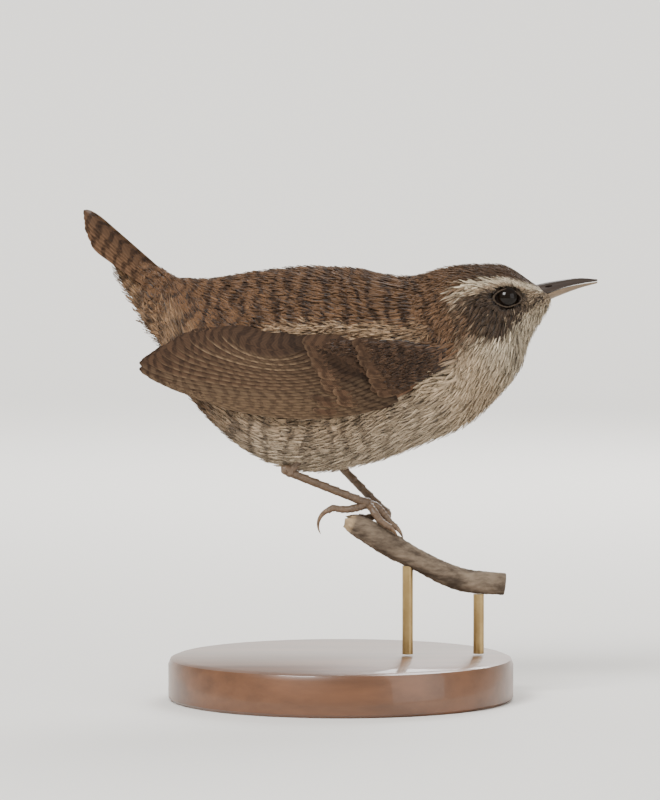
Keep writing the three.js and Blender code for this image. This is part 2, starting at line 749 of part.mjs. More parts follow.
function standPin(x, swollenTwig) {
  const tall = 24;
  const pin = new THREE.CylinderGeometry(PIN_RADIUS, PIN_RADIUS, tall, 16);
  const place = twigFrame(twigDistanceAtX(x)).middle;
  pin.rotateX(Math.PI / 2);
  pin.translate(x, place.y, BASE.thick + GAP + tall / 2);
  const above = new THREE.BoxGeometry(6, 6, 20).translate(x, place.y, place.z + 10);
  return solidOf(pin).subtract(swollenTwig).subtract(solidOf(above));
}

function twigDistanceAtX(x) {
  let low = 0;
  let high = 1;
  for (let i = 0; i < 30; i += 1) {
    const middle = (low + high) / 2;
    if (twigLine.getPointAt(middle).x < x) low = middle;
    else high = middle;
  }
  return low * twigLong;
}

// Assembly

const wren = new THREE.Group();
const swollenTrunk = trunk(GAP);
const swollenTwig = twig(GAP);
const swollenTailCoverts = tailCoverts(GAP);
const { torso, neck, head } = partedTrunk();
const { upper, lower } = bill(swollenTrunk);

wren.add(meshOf('head', finishedHead(head), FINISH.headPlumage));
wren.add(meshOf('neck', neck, FINISH.neckPlumage));
wren.add(meshOf('torso', torso, FINISH.bodyPlumage));
wren.add(meshOf('tail', tail(swollenTrunk), FINISH.tail));
wren.add(meshOf('bill_upper', upper, FINISH.upperBill));
wren.add(meshOf('bill_lower', lower, FINISH.lowerBill));

for (const [name, side] of [['right', RIGHT], ['left', LEFT]]) {
  wren.add(meshOf(`eye_${name}`, eyeball(side, EYE.radius), FINISH.eye));
  wren.add(meshOf(`wing_${name}`, wing(side, swollenTrunk, swollenTailCoverts), FINISH.wing));
}

// The second foot and its claws give way to the first.
let underfoot = swollenTwig;
for (const leg of LEGS) {
  const made = legAndFoot(leg, swollenTrunk, swollenTwig);
  wren.add(meshOf(`leg_${leg.name}`, made.leg, FINISH.leg));
  wren.add(meshOf(`foot_${leg.name}`, made.foot.subtract(underfoot), FINISH.leg));
  for (const [toeName, toe] of Object.entries(leg.toes)) {
    wren.add(meshOf(`claw_${leg.name}_${toeName}`, claw(leg, toe).subtract(underfoot), FINISH.claw));
  }
  underfoot = underfoot.add(made.swollenFoot);
}

wren.add(meshOf('perch', twig(0), FINISH.bark));
wren.add(meshOf('stand_base', standBase(), FINISH.wood));
for (const { name, x } of PINS) {
  wren.add(meshOf(`stand_pin_${name}`, standPin(x, swollenTwig), FINISH.pin));
}

export default wren;
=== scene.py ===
"""A life-size wren on a twig and a display stand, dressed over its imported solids.

Sizes below are in millimetres and are turned to metres where a mesh is made.
The bird faces +X and its right side is towards -Y.
"""

import math

import bmesh
import bpy
import numpy as np
from mathutils import Matrix, Vector


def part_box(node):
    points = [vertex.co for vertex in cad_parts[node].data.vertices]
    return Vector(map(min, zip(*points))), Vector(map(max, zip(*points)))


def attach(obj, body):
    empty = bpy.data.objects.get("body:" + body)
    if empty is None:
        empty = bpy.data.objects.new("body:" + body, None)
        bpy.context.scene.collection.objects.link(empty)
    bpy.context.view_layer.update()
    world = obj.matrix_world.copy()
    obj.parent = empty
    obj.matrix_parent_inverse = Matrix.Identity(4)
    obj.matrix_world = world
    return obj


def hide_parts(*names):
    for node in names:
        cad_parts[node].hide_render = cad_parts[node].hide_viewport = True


bl_info = {
    "name": "Wren on a display stand",
    "version": (1, 0, 0),
    "blender": (4, 5, 0),
    "location": "3D View > Sidebar > Wren",
    "description": "Dresses a packed wren model with plumage, bill, eyes, legs, twig and stand",
    "category": "Object",
}

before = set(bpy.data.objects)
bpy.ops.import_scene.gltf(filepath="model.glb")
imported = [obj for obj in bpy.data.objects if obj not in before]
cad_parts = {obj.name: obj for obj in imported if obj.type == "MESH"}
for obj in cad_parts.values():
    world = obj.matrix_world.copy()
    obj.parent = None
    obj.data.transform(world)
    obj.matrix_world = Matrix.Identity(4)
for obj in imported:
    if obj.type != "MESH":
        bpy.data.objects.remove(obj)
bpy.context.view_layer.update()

MM = 0.001
RIGHT = -1
LEFT = 1
SIDES = (("right", RIGHT), ("left", LEFT))

# The trunk from the tail root to the bill: the back's point, the underside's point, the half width.
RIBS = (
    ((-30.2, 77.7), (-35.4, 70.3), 4.6),
    ((-24.3, 77.6), (-28.9, 57.6), 9.4),
    ((-16.4, 78.8), (-18.7, 47.3), 13.4),
    ((-8.0, 79.8), (-8.6, 42.9), 15.5),
    ((0.5, 79.7), (2.6, 43.4), 15.6),
    ((9.3, 78.4), (16.4, 48.1), 13.5),
    ((13.6, 78.1), (24.6, 52.2), 11.4),
    ((18.6, 79.6), (32.4, 60.6), 8.7),
    ((22.4, 80.2), (34.5, 66.3), 7.3),
    ((26.6, 80.4), (36.3, 69.6), 6.5),
    ((30.7, 80.1), (37.9, 72.2), 4.9),
    ((35.0, 77.6), (39.2, 74.6), 2.1),
)
RIB_FULLNESS = 2.25
COAT_DEPTH = 0.8

EYE = {"x": 30.5, "z": 74.6, "radius": 2.25, "depth": 5.05}
LID = {"long": 2.35, "tall": 1.66, "corner_drop": 0.3, "thick": 0.12}
BILL = {
    "root": 34.4,
    "tip": 47.4,
    "culmen": (76.4, 77.2, 77.75, 78.1, 77.85),
    "mouth": (73.4, 75.0, 76.2, 76.95, 77.45),
    "keel": (71.9, 73.6, 75.0, 76.2, 77.1),
    "half": (2.2, 1.75, 1.2, 0.7, 0.16),
}
NOSTRIL = (38.3, 76.55)

WING = {
    "feathers": 22,
    "lift": 1.25,
    "leaves_trunk_at": -14.0,
    "closes_in": 0.42,
    "root_top": (-5.0, 66.4),
    "root_low": (10.5, 56.0),
    "bend_top": (-12.4, 61.0),
    "bend_low": (-3.0, 49.9),
    "tips": (
        (-21.6, 67.6), (-26.4, 66.9), (-31.2, 65.2), (-35.8, 61.8),
        (-37.9, 60.2), (-35.6, 58.7), (-31.6, 57.1), (-26.4, 55.6),
    ),
    "wide": 4.6,
    "raised": 0.6,
    "lean": 0.21,
}
WING_CORE = {
    "x": (18.4, 15.0, 9.0, 0.0, -10.0, -18.0, -25.0),
    "low": (63.0, 59.4, 55.9, 53.9, 53.9, 55.6, 59.0),
    "high": (65.4, 66.6, 66.9, 67.0, 67.2, 67.2, 65.6),
    "thick": 2.6,
}
# Rows of wing coverts: count, place of the highest, place of the lowest, length, width, height.
COVERT_ROWS = (
    (12, (2.5, 65.8), (9.5, 56.4), 10.5, 2.8, 0.8),
    (4, (9.8, 57.2), (9.6, 55.2), 15.0, 2.2, 0.75),
    (12, (8.2, 66.0), (12.8, 58.2), 6.8, 2.1, 0.95),
)

TAIL = {
    "root": (-27.6, 74.3),
    "middle_tip": (-46.7, 91.0),
    "pairs": 6,
    "outer_shorter": 4.5,
    "roof": 44.0,
    "root_spread": 1.3,
    "tip_spread": 4.2,
    "wide": 4.1,
    "raised": 0.25,
    "lean": 0.16,
}
TAIL_COVERT_RIBS = (
    ((-26.0, 76.4), (-30.6, 63.6), 6.4),
    ((-30.2, 78.1), (-36.2, 69.9), 4.7),
    ((-33.2, 79.9), (-38.5, 74.4), 4.0),
    ((-36.0, 81.0), (-40.3, 78.0), 3.0),
    ((-38.8, 83.0), (-41.6, 81.1), 1.9),
    ((-41.0, 84.9), (-42.5, 83.7), 0.8),
)
# The bars of the tail's coverts are spaced along this length.
TAIL_COVERTS_LONG = 17.0

# The pale brow runs from the bill over the eye and round behind the ear coverts, in the side view.
BROW = ((37.0, 75.9), (34.3, 76.7), (30.6, 77.7), (27.4, 77.6), (23.4, 76.7), (20.7, 74.6), (20.4, 71.4))
EAR_PATCH = ((27.6, 71.9), (6.6, 4.3), 0.30)
EYE_STRIPE = ((33.8, 74.6), (30.5, 74.3), (26.0, 74.9), (22.9, 74.2))
MOUTH_STRIPE = ((37.0, 74.6), (34.4, 73.0), (32.2, 71.6))


# Curves and surfaces


def through(stops, share):
    """Points of the smooth curve through the stops, at shares from 0 to 1 of its run."""
    stops = np.asarray(stops, float)
    share = np.clip(np.asarray(share, float), 0, 1)
    spans = len(stops) - 1
    at = share * spans
    first = np.minimum(at.astype(int), spans - 1)
    w = (at - first)[..., None] if stops.ndim > 1 else at - first
    padded = np.concatenate([[2 * stops[0] - stops[1]], stops, [2 * stops[-1] - stops[-2]]])
    p0, p1, p2, p3 = (padded[first + k] for k in range(4))
    t0 = 0.5 * (p2 - p0)
    t1 = 0.5 * (p3 - p1)
    return (2 * (p1 - p2) + t0 + t1) * w**3 + (3 * (p2 - p1) - 2 * t0 - t1) * w**2 + t0 * w + p1


def run_of(line):
    """The distance run at each point of a line, from its first point."""
    return np.concatenate([[0], np.cumsum(np.linalg.norm(np.diff(line, axis=0), axis=1))])


def between(a, b, w):
    """The place or tint at a share of the way from a to b."""
    return np.array(a) * (1 - w) + np.array(b) * w


# The change in share and in turn over which slopes are taken
SMALL_STEP = 0.004


class RibbedBody:
    """A body of rounded ribs.

    Its places are a share along it and a turn from the back, left being positive.
    """

    def __init__(self, ribs):
        self.backs = [rib[0] for rib in ribs]
        self.unders = [rib[1] for rib in ribs]
        self.halves = [rib[2] for rib in ribs]

    def at(self, share, turn, height=0.0):
        """Places at a height over the surface."""
        share = np.asarray(share, float)
        inside = np.clip(share, 0, 1)
        back = through(self.backs, inside)
        under = through(self.unders, inside)
        half = through(self.halves, inside)
        middle = (back + under) / 2
        up = back - middle
        long = np.linalg.norm(up, axis=-1)
        power = 2 / RIB_FULLNESS
        rise = np.sign(np.cos(turn)) * np.abs(np.cos(turn)) ** power
        reach = np.sign(np.sin(turn)) * np.abs(np.sin(turn)) ** power
        scale = (long + height) / long * rise
        place = np.stack([
            middle[..., 0] + up[..., 0] * scale,
            (half + height) * reach,
            middle[..., 1] + up[..., 1] * scale,
        ], axis=-1)
        # Past either end the surface runs on straight.
        beyond = share - inside
        if np.any(beyond != 0):
            step = np.where(share > 0.5, 0.98, 0.02)
            edge = np.where(share > 0.5, 1.0, 0.0)
            ahead = self.at(edge, turn, height) - self.at(step, turn, height)
            place = place + ahead * (np.abs(beyond) / 0.02)[..., None]
        return place

    def rates(self, share, turn):
        """How many millimetres one unit of share and one of turn are, at each place."""
        low = np.clip(share - SMALL_STEP, 0, 1)
        high = np.clip(share + SMALL_STEP, 0, 1)
        along = np.linalg.norm(self.at(high, turn) - self.at(low, turn), axis=-1) / (high - low)
        around = self.at(share, turn + SMALL_STEP) - self.at(share, turn - SMALL_STEP)
        around = np.linalg.norm(around, axis=-1) / (2 * SMALL_STEP)
        return along, np.maximum(around, 0.6)


TRUNK = RibbedBody(RIBS)
TAIL_COVERTS = RibbedBody(TAIL_COVERT_RIBS)


# How often the search for a place's rib halves its range
HALVINGS = 26


def trunk_share(x, z):
    """The share along the trunk whose rib crosses each place in the side view."""
    low = np.zeros(np.broadcast(x, z).shape)
    high = low + 1
    for _ in range(HALVINGS):
        mid = (low + high) / 2
        back = through(TRUNK.backs, mid)
        rib = through(TRUNK.unders, mid) - back
        ahead = rib[..., 0] * (z - back[..., 1]) - rib[..., 1] * (x - back[..., 0]) > 0
        low = np.where(ahead, mid, low)
        high = np.where(ahead, high, mid)
    return low


def trunk_reach(x, z):
    """How far the trunk reaches sideways at places in the side view."""
    x = np.asarray(x, float)
    z = np.asarray(z, float)
    share = trunk_share(x, z)
    back = through(TRUNK.backs, share)
    under = through(TRUNK.unders, share)
    half = np.linalg.norm(back - under, axis=-1) / 2
    middle = (back + under) / 2
    off = np.minimum(1, np.hypot(x - middle[..., 0], z - middle[..., 1]) / half)
    return through(TRUNK.halves, share) * (1 - off**RIB_FULLNESS) ** (1 / RIB_FULLNESS)


def skin_places(places):
    """Share and turn on the trunk for places in millimetres near its skin."""
    share = trunk_share(places[:, 0], places[:, 2])
    back = through(TRUNK.backs, share)
    middle = (back + through(TRUNK.unders, share)) / 2
    up = back - middle
    rise = ((places[:, [0, 2]] - middle) * up).sum(axis=1) / (up**2).sum(axis=1)
    reach = places[:, 1] / through(TRUNK.halves, share)
    power = RIB_FULLNESS / 2
    turn = np.arctan2(np.sign(reach) * np.abs(reach) ** power, np.sign(rise) * np.abs(rise) ** power)
    return share, turn


# The bars run across the body in waves, measured along a line inside it.
BAR_EVERY = 3.2
WAVE_SHARES = np.linspace(0, 1, 200)
SPINE = 0.7 * through(TRUNK.backs, WAVE_SHARES) + 0.3 * through(TRUNK.unders, WAVE_SHARES)
WAVE_RUN = run_of(SPINE)


def wing_face(x, z):
    """How far the folded wing's face is from the middle at places in the side view."""
    on_trunk = np.maximum(x, WING["leaves_trunk_at"])
    return trunk_reach(on_trunk, z) + WING["lift"] - (on_trunk - x) * WING["closes_in"]


def smooth_step(low, high, value):
    """From 0 at low to 1 at high, easing at both ends."""
    w = np.clip((value - low) / (high - low), 0, 1)
    return w * w * (3 - 2 * w)


# Colours as linear RGB, and where they lie on the bird

COLOURS = {
    "crown": (0.070, 0.039, 0.021),
    "back": (0.118, 0.063, 0.032),
    "rump": (0.128, 0.066, 0.032),
    "brow": (0.600, 0.500, 0.360),
    "ear": (0.045, 0.028, 0.017),
    "cheek": (0.330, 0.240, 0.155),
    "throat": (0.520, 0.430, 0.310),
    "breast": (0.430, 0.325, 0.215),
    "belly": (0.500, 0.400, 0.285),
    "flank": (0.270, 0.178, 0.105),
    "vent": (0.215, 0.128, 0.068),
    "wing": (0.054, 0.029, 0.016),
    "wing_pale": (0.290, 0.195, 0.115),
    "tail": (0.088, 0.047, 0.025),
}
TINTS = {name: np.array(value) for name, value in COLOURS.items()}
PALE_WOOD = (0.36, 0.26, 0.155)


def blend(a, b, w):
    """Colours a turned towards b by w, one weight for each."""
    return a + (b - a) * np.asarray(w)[..., None]


def distance_to_line(points, x, z):
    """Distance in the side view from places to a line of stops, and the share along it that is nearest."""
    shares = np.linspace(0, 1, 80)
    dense = through(points, shares)
    gap = np.hypot(x[:, None] - dense[None, :, 0], z[:, None] - dense[None, :, 1])
    return gap.min(axis=1), shares[gap.argmin(axis=1)]


def face_colours(x, z, fall, rng):
    """Tint of the head and neck, and how much of each place is brow, ear patch and below the brow."""
    c = TINTS
    count = len(x)
    brow_x, brow_z = np.array(BROW[4::-1]).T
    below = smooth_step(0.7, 0.2, z - np.interp(x, brow_x, brow_z))
    face = blend(c["crown"], c["cheek"], below)
    throat = smooth_step(70.6, 68.2, z - 0.42 * (x - 28))
    face = blend(face, c["throat"], throat)
    (ear_x, ear_z), (ear_long, ear_tall), tilt = EAR_PATCH
    dx, dz = x - ear_x, z - ear_z
    lengthwise = (dx * math.cos(tilt) + dz * math.sin(tilt)) / ear_long
    upright = (dz * math.cos(tilt) - dx * math.sin(tilt)) / ear_tall
    ear_off = np.hypot(lengthwise, upright)
    ear = smooth_step(1.12, 0.86, ear_off + rng.normal(0, 0.05, count))
    streak = rng.random(count) < 0.16 * smooth_step(0.35, 0.9, ear_off) + 0.02
    face = blend(face, np.where(streak[:, None], c["cheek"] * 0.6, c["ear"]), ear)
    # It is dark along the eye stripe and along the mouth, and round the eye it is darkened with painted
    # shade, as of the hollow between the lids and the eyeball.
    stripe = smooth_step(1.2, 0.6, distance_to_line(EYE_STRIPE, x, z)[0])
    painted_eye_shade = smooth_step(3.7, 2.9, np.hypot(x - EYE["x"], (z - EYE["z"]) * 1.35))
    face = blend(face, c["ear"], 0.85 * np.maximum(stripe, painted_eye_shade))
    face = blend(face, c["ear"], 0.9 * smooth_step(0.5, 0.2, distance_to_line(MOUTH_STRIPE, x, z)[0]))
    gap, far = distance_to_line(BROW, x, z)
    broad = 0.42 + 0.22 * far
    brow = smooth_step(broad + 0.25, broad - 0.25, gap) * smooth_step(1.0, 0.8, far)
    face = blend(face, c["brow"], brow)
    nape = smooth_step(23.5, 19.5, x - 0.2 * (z - 72)) * below * (1 - 0.8 * ear)
    neck = c["breast"] * 0.7 + c["flank"] * 0.3
    face = blend(face, neck, nape * (1 - brow) * (1 - throat))
    face = blend(face, c["back"], smooth_step(1.3, 0.95, fall) * smooth_step(26, 18, x) * (1 - brow))
    return face, brow, ear, below


def body_colours(place, share, turn, rng):
    """Tint and bar strength of the plumage at places on the trunk."""
    c = TINTS
    x, z = place[:, 0], place[:, 2]
    count = len(x)
    fall = np.abs(turn) + rng.normal(0, 0.05, count)
    tint = np.repeat(c["back"][None], count, axis=0)
    tint = blend(tint, c["rump"], smooth_step(0.35, 0.1, share))
    barred = smooth_step(0.74, 0.5, share)
    bars = (0.62 + 0.38 * np.sin(5.5 * turn + 0.55 * x) ** 2) * barred
    # The underparts begin along a soft line at the wing's height, and end at the vent.
    lower = smooth_step(1.4, 1.85, fall)
    under = blend(c["belly"], c["breast"], smooth_step(0.42, 0.58, share))
    under = blend(under, c["flank"], 0.85 * smooth_step(0.62, 0.25, share) * smooth_step(2.75, 1.9, fall))
    under = blend(under, c["vent"], smooth_step(0.26, 0.1, share))
    tint = blend(tint, under, lower)
    side_bars = 0.5 * smooth_step(0.62, 0.3, share) + 0.14
    middle_fade = 1 - 0.6 * smooth_step(2.2, 3.0, fall) * smooth_step(0.2, 0.35, share)
    bars = bars * (1 - lower) + lower * side_bars * middle_fade * barred
    # Pale scallops lie over the wing's upper edge.
    pale = smooth_step(1.9, 0.7, np.abs(z - 68.6 - 0.03 * x))
    pale = pale * smooth_step(-16, -6, x) * smooth_step(19, 10, x)
    tint = blend(tint, c["wing_pale"] * 1.25, 0.7 * pale)
    bars = bars * (1 - 0.3 * pale)
    head = smooth_step(0.58, 0.66, share)
    face, brow, ear, below = face_colours(x, z, fall, rng)
    tint = blend(tint, face, head)
    bars = bars + (0.1 * (1 - brow) - bars) * head
    tone = rng.normal(1.0, 0.10 + 0.06 * head, count)
    fleck = np.where(rng.random(count) < 0.24 * head * (1 - brow) * (1 - ear) * below, 0.5, 1.0)
    return tint * (tone * fleck)[:, None], np.clip(bars, 0, 1)


def body_wave(share, turn):
    """Where a place falls among the wavy bars that run across the back and the flanks, in bars."""
    run = np.interp(share, WAVE_SHARES, WAVE_RUN)
    return run / BAR_EVERY + 0.22 * np.sin(3.1 * turn + 0.4 * run) + 0.12 * np.sin(8.0 * turn - 0.9 * run)


# Meshes


def finished(name, mesh, material, slot, replaced=()):
    """Links the mesh as a piece of the bird or its stand."""
    piece = bpy.data.objects.new(name, mesh)
    bpy.context.scene.collection.objects.link(piece)
    mesh.materials.append(material)
    mesh.shade_smooth()
    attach(piece, "root")
    if replaced:
        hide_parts(*replaced)
    return piece


def swept(columns, rows, place, closed_ends=True):
    """A tube from a grid whose places are (share around, share along) to millimetres."""
    bm = bmesh.new()
    bmesh.ops.create_grid(bm, x_segments=columns, y_segments=rows, size=0.5)
    around = np.array([vert.co.x + 0.5 for vert in bm.verts])
    along = np.array([vert.co.y + 0.5 for vert in bm.verts])
    around[around > 0.9999] = 0.0
    places = place(around, along) * MM
    for vert, co in zip(bm.verts, places):
        vert.co = co
    bmesh.ops.remove_doubles(bm, verts=bm.verts, dist=1e-7)
    if closed_ends:
        bmesh.ops.holes_fill(bm, edges=[edge for edge in bm.edges if edge.is_boundary], sides=0)
    bmesh.ops.recalc_face_normals(bm, faces=bm.faces)
    return bm


def mesh_of(bm, name):
    """The mesh of a bmesh, which is freed."""
    mesh = bpy.data.meshes.new(name)
    bm.to_mesh(mesh)
    bm.free()
    return mesh


def joined(name, shapes):
    """One mesh from several bmeshes."""
    whole = bmesh.new()
    for shape in shapes:
        part = mesh_of(shape, name + "_part")
        whole.from_mesh(part)
        bpy.data.meshes.remove(part)
    return mesh_of(whole, name)


# The cross-section of a small feather: its left edge, its ridge, its right edge, its underside
VANE_ACROSS = np.array([-1.0, 0.0, 1.0, 0.0])
VANE_RIDGE = np.array([0.0, 1.0, 0.0, -0.5])
# Rows from root to tip, how wide each is, and how high the ridge stands
BROAD = {
    "rows": np.array([0.0, 0.35, 0.68, 0.9, 1.0]),
    "widths": np.array([0.4, 0.95, 1.0, 0.7, 0.22]),
    "ridge": 0.07,
}
LOCK = {
    "rows": np.array([0.0, 0.4, 0.78, 1.0]),
    "widths": np.array([0.7, 1.0, 0.72, 0.12]),
    "ridge": 0.05,
}
# The size of one feather in the bake map
BAKE_PATCH = 0.003


def painted(mesh, corners, uvs, tints, marks):
    """Gives a mesh its two UV maps, its tint and its marks, from values at its vertices."""
    for label, uv in zip(("Vane", "OFBake"), uvs):
        layer = mesh.uv_layers.new(name=label)
        layer.data.foreach_set("uv", uv.reshape(-1, 2)[corners].astype(np.float32).ravel())
    tint = mesh.attributes.new("tint", "FLOAT_COLOR", "POINT")
    rgba = np.concatenate([tints.reshape(-1, 3), np.ones((tints.size // 3, 1))], axis=1)
    tint.data.foreach_set("color", rgba.astype(np.float32).ravel())
    mark = mesh.attributes.new("marks", "FLOAT_VECTOR", "POINT")
    mark.data.foreach_set("vector", marks.astype(np.float32).ravel())


def places_of(mesh):
    """The vertices of a mesh, in millimetres."""
    places = np.empty(len(mesh.vertices) * 3)
    mesh.vertices.foreach_get("co", places)
    return places.reshape(-1, 3) / MM


def turned(profile, steps):
    """A piece turned round the upright axis from radii and heights in metres."""
    bm = bmesh.new()
    verts = [bm.verts.new((radius, 0, height)) for radius, height in profile]
    edges = [bm.edges.new(pair) for pair in zip(verts, verts[1:])]
    bmesh.ops.spin(
        bm, geom=verts + edges, cent=(0, 0, 0), axis=(0, 0, 1),
        angle=2 * math.pi, steps=steps, use_merge=True)
    bmesh.ops.remove_doubles(bm, verts=bm.verts, dist=1e-6)
    bmesh.ops.recalc_face_normals(bm, faces=bm.faces)
    return bm


def vanes_mesh(name, places, vane_uv, bake_uv, tints, marks):
    """A joined mesh of closed vanes. places is (vanes, rows, ring, 3) in millimetres."""
    vanes, rows, ring, _ = places.shape
    row, col = np.meshgrid(np.arange(rows - 1), np.arange(ring), indexing="ij")
    beside = (col + 1) % ring
    first = row * ring
    quads = np.stack([first + col, first + beside, first + ring + beside, first + ring + col], axis=-1)
    quads = quads.reshape(-1, 4)
    caps = np.stack([np.arange(ring)[::-1], (rows - 1) * ring + np.arange(ring)])
    step = (np.arange(vanes) * rows * ring)[:, None, None]
    walls = (quads[None] + step).reshape(-1, 4)
    ends = (caps[None] + step).reshape(-1, ring)
    corners = np.concatenate([walls.ravel(), ends.ravel()]).astype(np.int32)
    starts = np.concatenate([np.arange(len(walls)) * 4, len(walls) * 4 + np.arange(len(ends)) * ring])
    mesh = bpy.data.meshes.new(name)
    mesh.vertices.add(vanes * rows * ring)
    mesh.vertices.foreach_set("co", (places * MM).astype(np.float32).ravel())
    mesh.loops.add(len(corners))
    mesh.loops.foreach_set("vertex_index", corners)
    mesh.polygons.add(len(walls) + len(ends))
    mesh.polygons.foreach_set("loop_start", starts.astype(np.int32))
    mesh.update(calc_edges=True)
    painted(mesh, corners, (vane_uv, bake_uv), tints, marks)
    mesh.validate()
    return mesh


def tufts(surface, wave, roots, steps_back, steps_across, shape, form, rng):
    """Small feathers laid over a surface, each a closed vane bent along it.

    roots holds the two coordinates of each root on the surface. steps_back and steps_across
    hold how much they change for each millimetre towards the tip and across the feather.
    """
    count = len(roots)
    rows = len(form["rows"])
    long, wide, sunk, lift, cup, phase, bars = (
        shape[key][:, None, None] for key in ("long", "wide", "sunk", "lift", "cup", "phase", "bars"))
    v = form["rows"][None, :, None]
    ragged = 1 + rng.normal(0, 0.03, (count, 1, 4)) * v**3
    along = v * ragged * long
    bend = rng.normal(0, 0.10, (count, 1, 1)) * long * v**2
    across = VANE_ACROSS * form["widths"][None, :, None] * wide / 2 + bend
    back = steps_back[:, :, None, None]
    over = steps_across[:, :, None, None]
    a, b = (roots[:, k, None, None] + along * back[:, k] + across * over[:, k] for k in (0, 1))
    height = sunk * (v**0.75 - 1) + lift * v - cup * VANE_ACROSS**2
    places = surface(a, b, height + form["ridge"] * VANE_RIDGE * (1 - 0.6 * v))
    vane_uv = np.stack(np.broadcast_arrays(VANE_ACROSS * 0.5 + 0.5, v + 0 * across), axis=-1)
    marks = np.zeros((count, rows, 4, 3))
    marks[..., 0] = wave(a, b) + phase
    marks[..., 1] = bars
    marks[..., 2] = rng.random((count, 1, 1))
    tints = shape["tint"][:, None, None] + np.zeros((count, rows, 4, 3))
    bake_uv = np.clip(shape["unwrap"][:, None, None] + (vane_uv - 0.5) * BAKE_PATCH, 0, 1)
    return places, vane_uv, bake_uv, tints, marks


def trunk_roots(spacing, rng):
    """Staggered rows of places over the trunk, from its rear to its front."""
    rows = []
    share = 0.0
    turns_around = np.linspace(-math.pi, math.pi, 97)
    while share < 0.995:
        gap = spacing(share)
        run = run_of(TRUNK.at(np.full(len(turns_around), share), turns_around))
        count = max(6, int(run[-1] / gap))
        at = (np.arange(count) + 0.5 * (len(rows) % 2) + rng.uniform(-0.35, 0.35, count)) / count % 1.0
        turns = np.interp(at * run[-1], run, turns_around)
        speed = TRUNK.rates(np.full(count, share), turns)[0]
        jitter = rng.uniform(-0.4, 0.4, count) * gap / speed
        rows.append(np.stack([np.clip(share + jitter, 0, 0.998), turns], axis=1))
        share += 0.62 * gap / float(np.median(speed))
    roots = np.concatenate(rows)
    return roots[np.argsort(roots[:, 0], kind="stable")]


def trunk_tufts(name, form, spacing, long, wide, locks, lift, material, seed, most):
    """Small feathers over the whole trunk, each of one vane or of a few narrow locks."""
    rng = np.random.default_rng(seed)
    roots = np.repeat(trunk_roots(spacing, rng), locks, axis=0)
    share, turn = roots[:, 0], roots[:, 1]
    count = len(roots)
    fan = np.tile(np.linspace(-1, 1, locks) if locks > 1 else np.zeros(1), count // locks)
    place = TRUNK.at(share, turn)
    length = long(share) * rng.uniform(0.8, 1.15, count)
    width = wide(share) * rng.uniform(0.85, 1.15, count)
    # Feathers lie back, and swing down on the cheeks, the sides of the neck and the breast.
    side = np.where(turn < 0, -1.0, 1.0)
    fall = np.abs(turn)
    swing = 0.30 * np.sin(np.clip(fall, 0, math.pi)) * smooth_step(0.25, 0.6, share) - 0.12 * np.sin(fall)
    swing = swing - 0.35 * smooth_step(1.95, 1.3, fall) * smooth_step(0.64, 0.76, share)
    swing = swing + rng.normal(0, 0.07, count) + fan * 0.20 * side
    # Around the eye they part and stop at the lid.
    to_eye = np.stack([place[:, 0] - EYE["x"], place[:, 2] - EYE["z"]], axis=1)
    off = np.hypot(to_eye[:, 0], to_eye[:, 1] * LID["long"] / LID["tall"] * 0.92)
    away = to_eye / np.maximum(np.hypot(to_eye[:, 0], to_eye[:, 1]), 1e-6)[:, None]
    along, around = TRUNK.rates(share, turn)
    ahead = TRUNK.at(np.clip(share + SMALL_STEP, 0, 1), turn)
    ahead = ahead - TRUNK.at(np.clip(share - SMALL_STEP, 0, 1), turn)
    ahead = ahead / np.linalg.norm(ahead, axis=1)[:, None]
    down = TRUNK.at(share, turn + side * SMALL_STEP) - TRUNK.at(share, turn - side * SMALL_STEP)
    down = down / np.linalg.norm(down, axis=1)[:, None]
    heading = -ahead * np.cos(swing)[:, None] + down * np.sin(swing)[:, None]
    push = 2.2 * smooth_step(5.0, 2.6, off) * (np.abs(place[:, 1]) > 2.5)
    heading[:, 0] += away[:, 0] * push
    heading[:, 2] += away[:, 1] * push
    swing = np.arctan2((heading * down).sum(axis=1), -(heading * ahead).sum(axis=1))
    cos, sin = np.cos(swing), np.sin(swing) * side
    steps_back = np.stack([-cos / along, sin / around], axis=1)
    steps_across = np.stack([sin / along, cos / around], axis=1)
    near = smooth_step(6.0, 3.0, off)
    length = length * (1 - 0.45 * near)
    width = width * (1 - 0.35 * near)
    roots = roots + steps_across * (fan * 0.9 * width * (locks - 1) / 2)[:, None]
    middle_share = np.clip(share - 0.5 * length * cos / along, 0, 1)
    visible = TRUNK.at(middle_share, turn + 0.5 * length * sin / around)
    tint, bars = body_colours(visible, middle_share, turn, rng)
    shown = np.nonzero(off > LID["long"] + 0.15)[0]
    shape = {
        "long": length,
        "wide": width,
        "sunk": np.minimum(0.75, 0.3 * length),
        "lift": lift * rng.uniform(-0.2, 1.3, count) * (1 - 0.5 * near),
        "cup": 0.07 * width,
        "phase": np.repeat(rng.normal(0, 0.07, count // locks), locks),
        "bars": bars,
        "tint": tint,
        "unwrap": np.stack([turn / (2 * math.pi) % 1.0, np.clip(share, 0, 1)], axis=1),
    }
    for number, start in enumerate(range(0, len(shown), most)):
        pick = shown[start:start + most]
        part = {key: value[pick] for key, value in shape.items()}
        label = f"{name}_{number + 1}"
        laid = (roots[pick], steps_back[pick], steps_across[pick])
        arrays = tufts(TRUNK.at, body_wave, *laid, part, form, rng)
        finished(label, vanes_mesh(label, *arrays), material, "plumage")


# Long feathers of the wings and the tail

SHAFT_AT = 0.42
LONG_ACROSS = np.array([0.0, 0.07, 0.14, 0.30, SHAFT_AT, 0.6, 1.0])
LONG_ROWS = 16
LONG_STATIONS = 1 - (1 - np.linspace(0, 1, LONG_ROWS)) ** 1.6


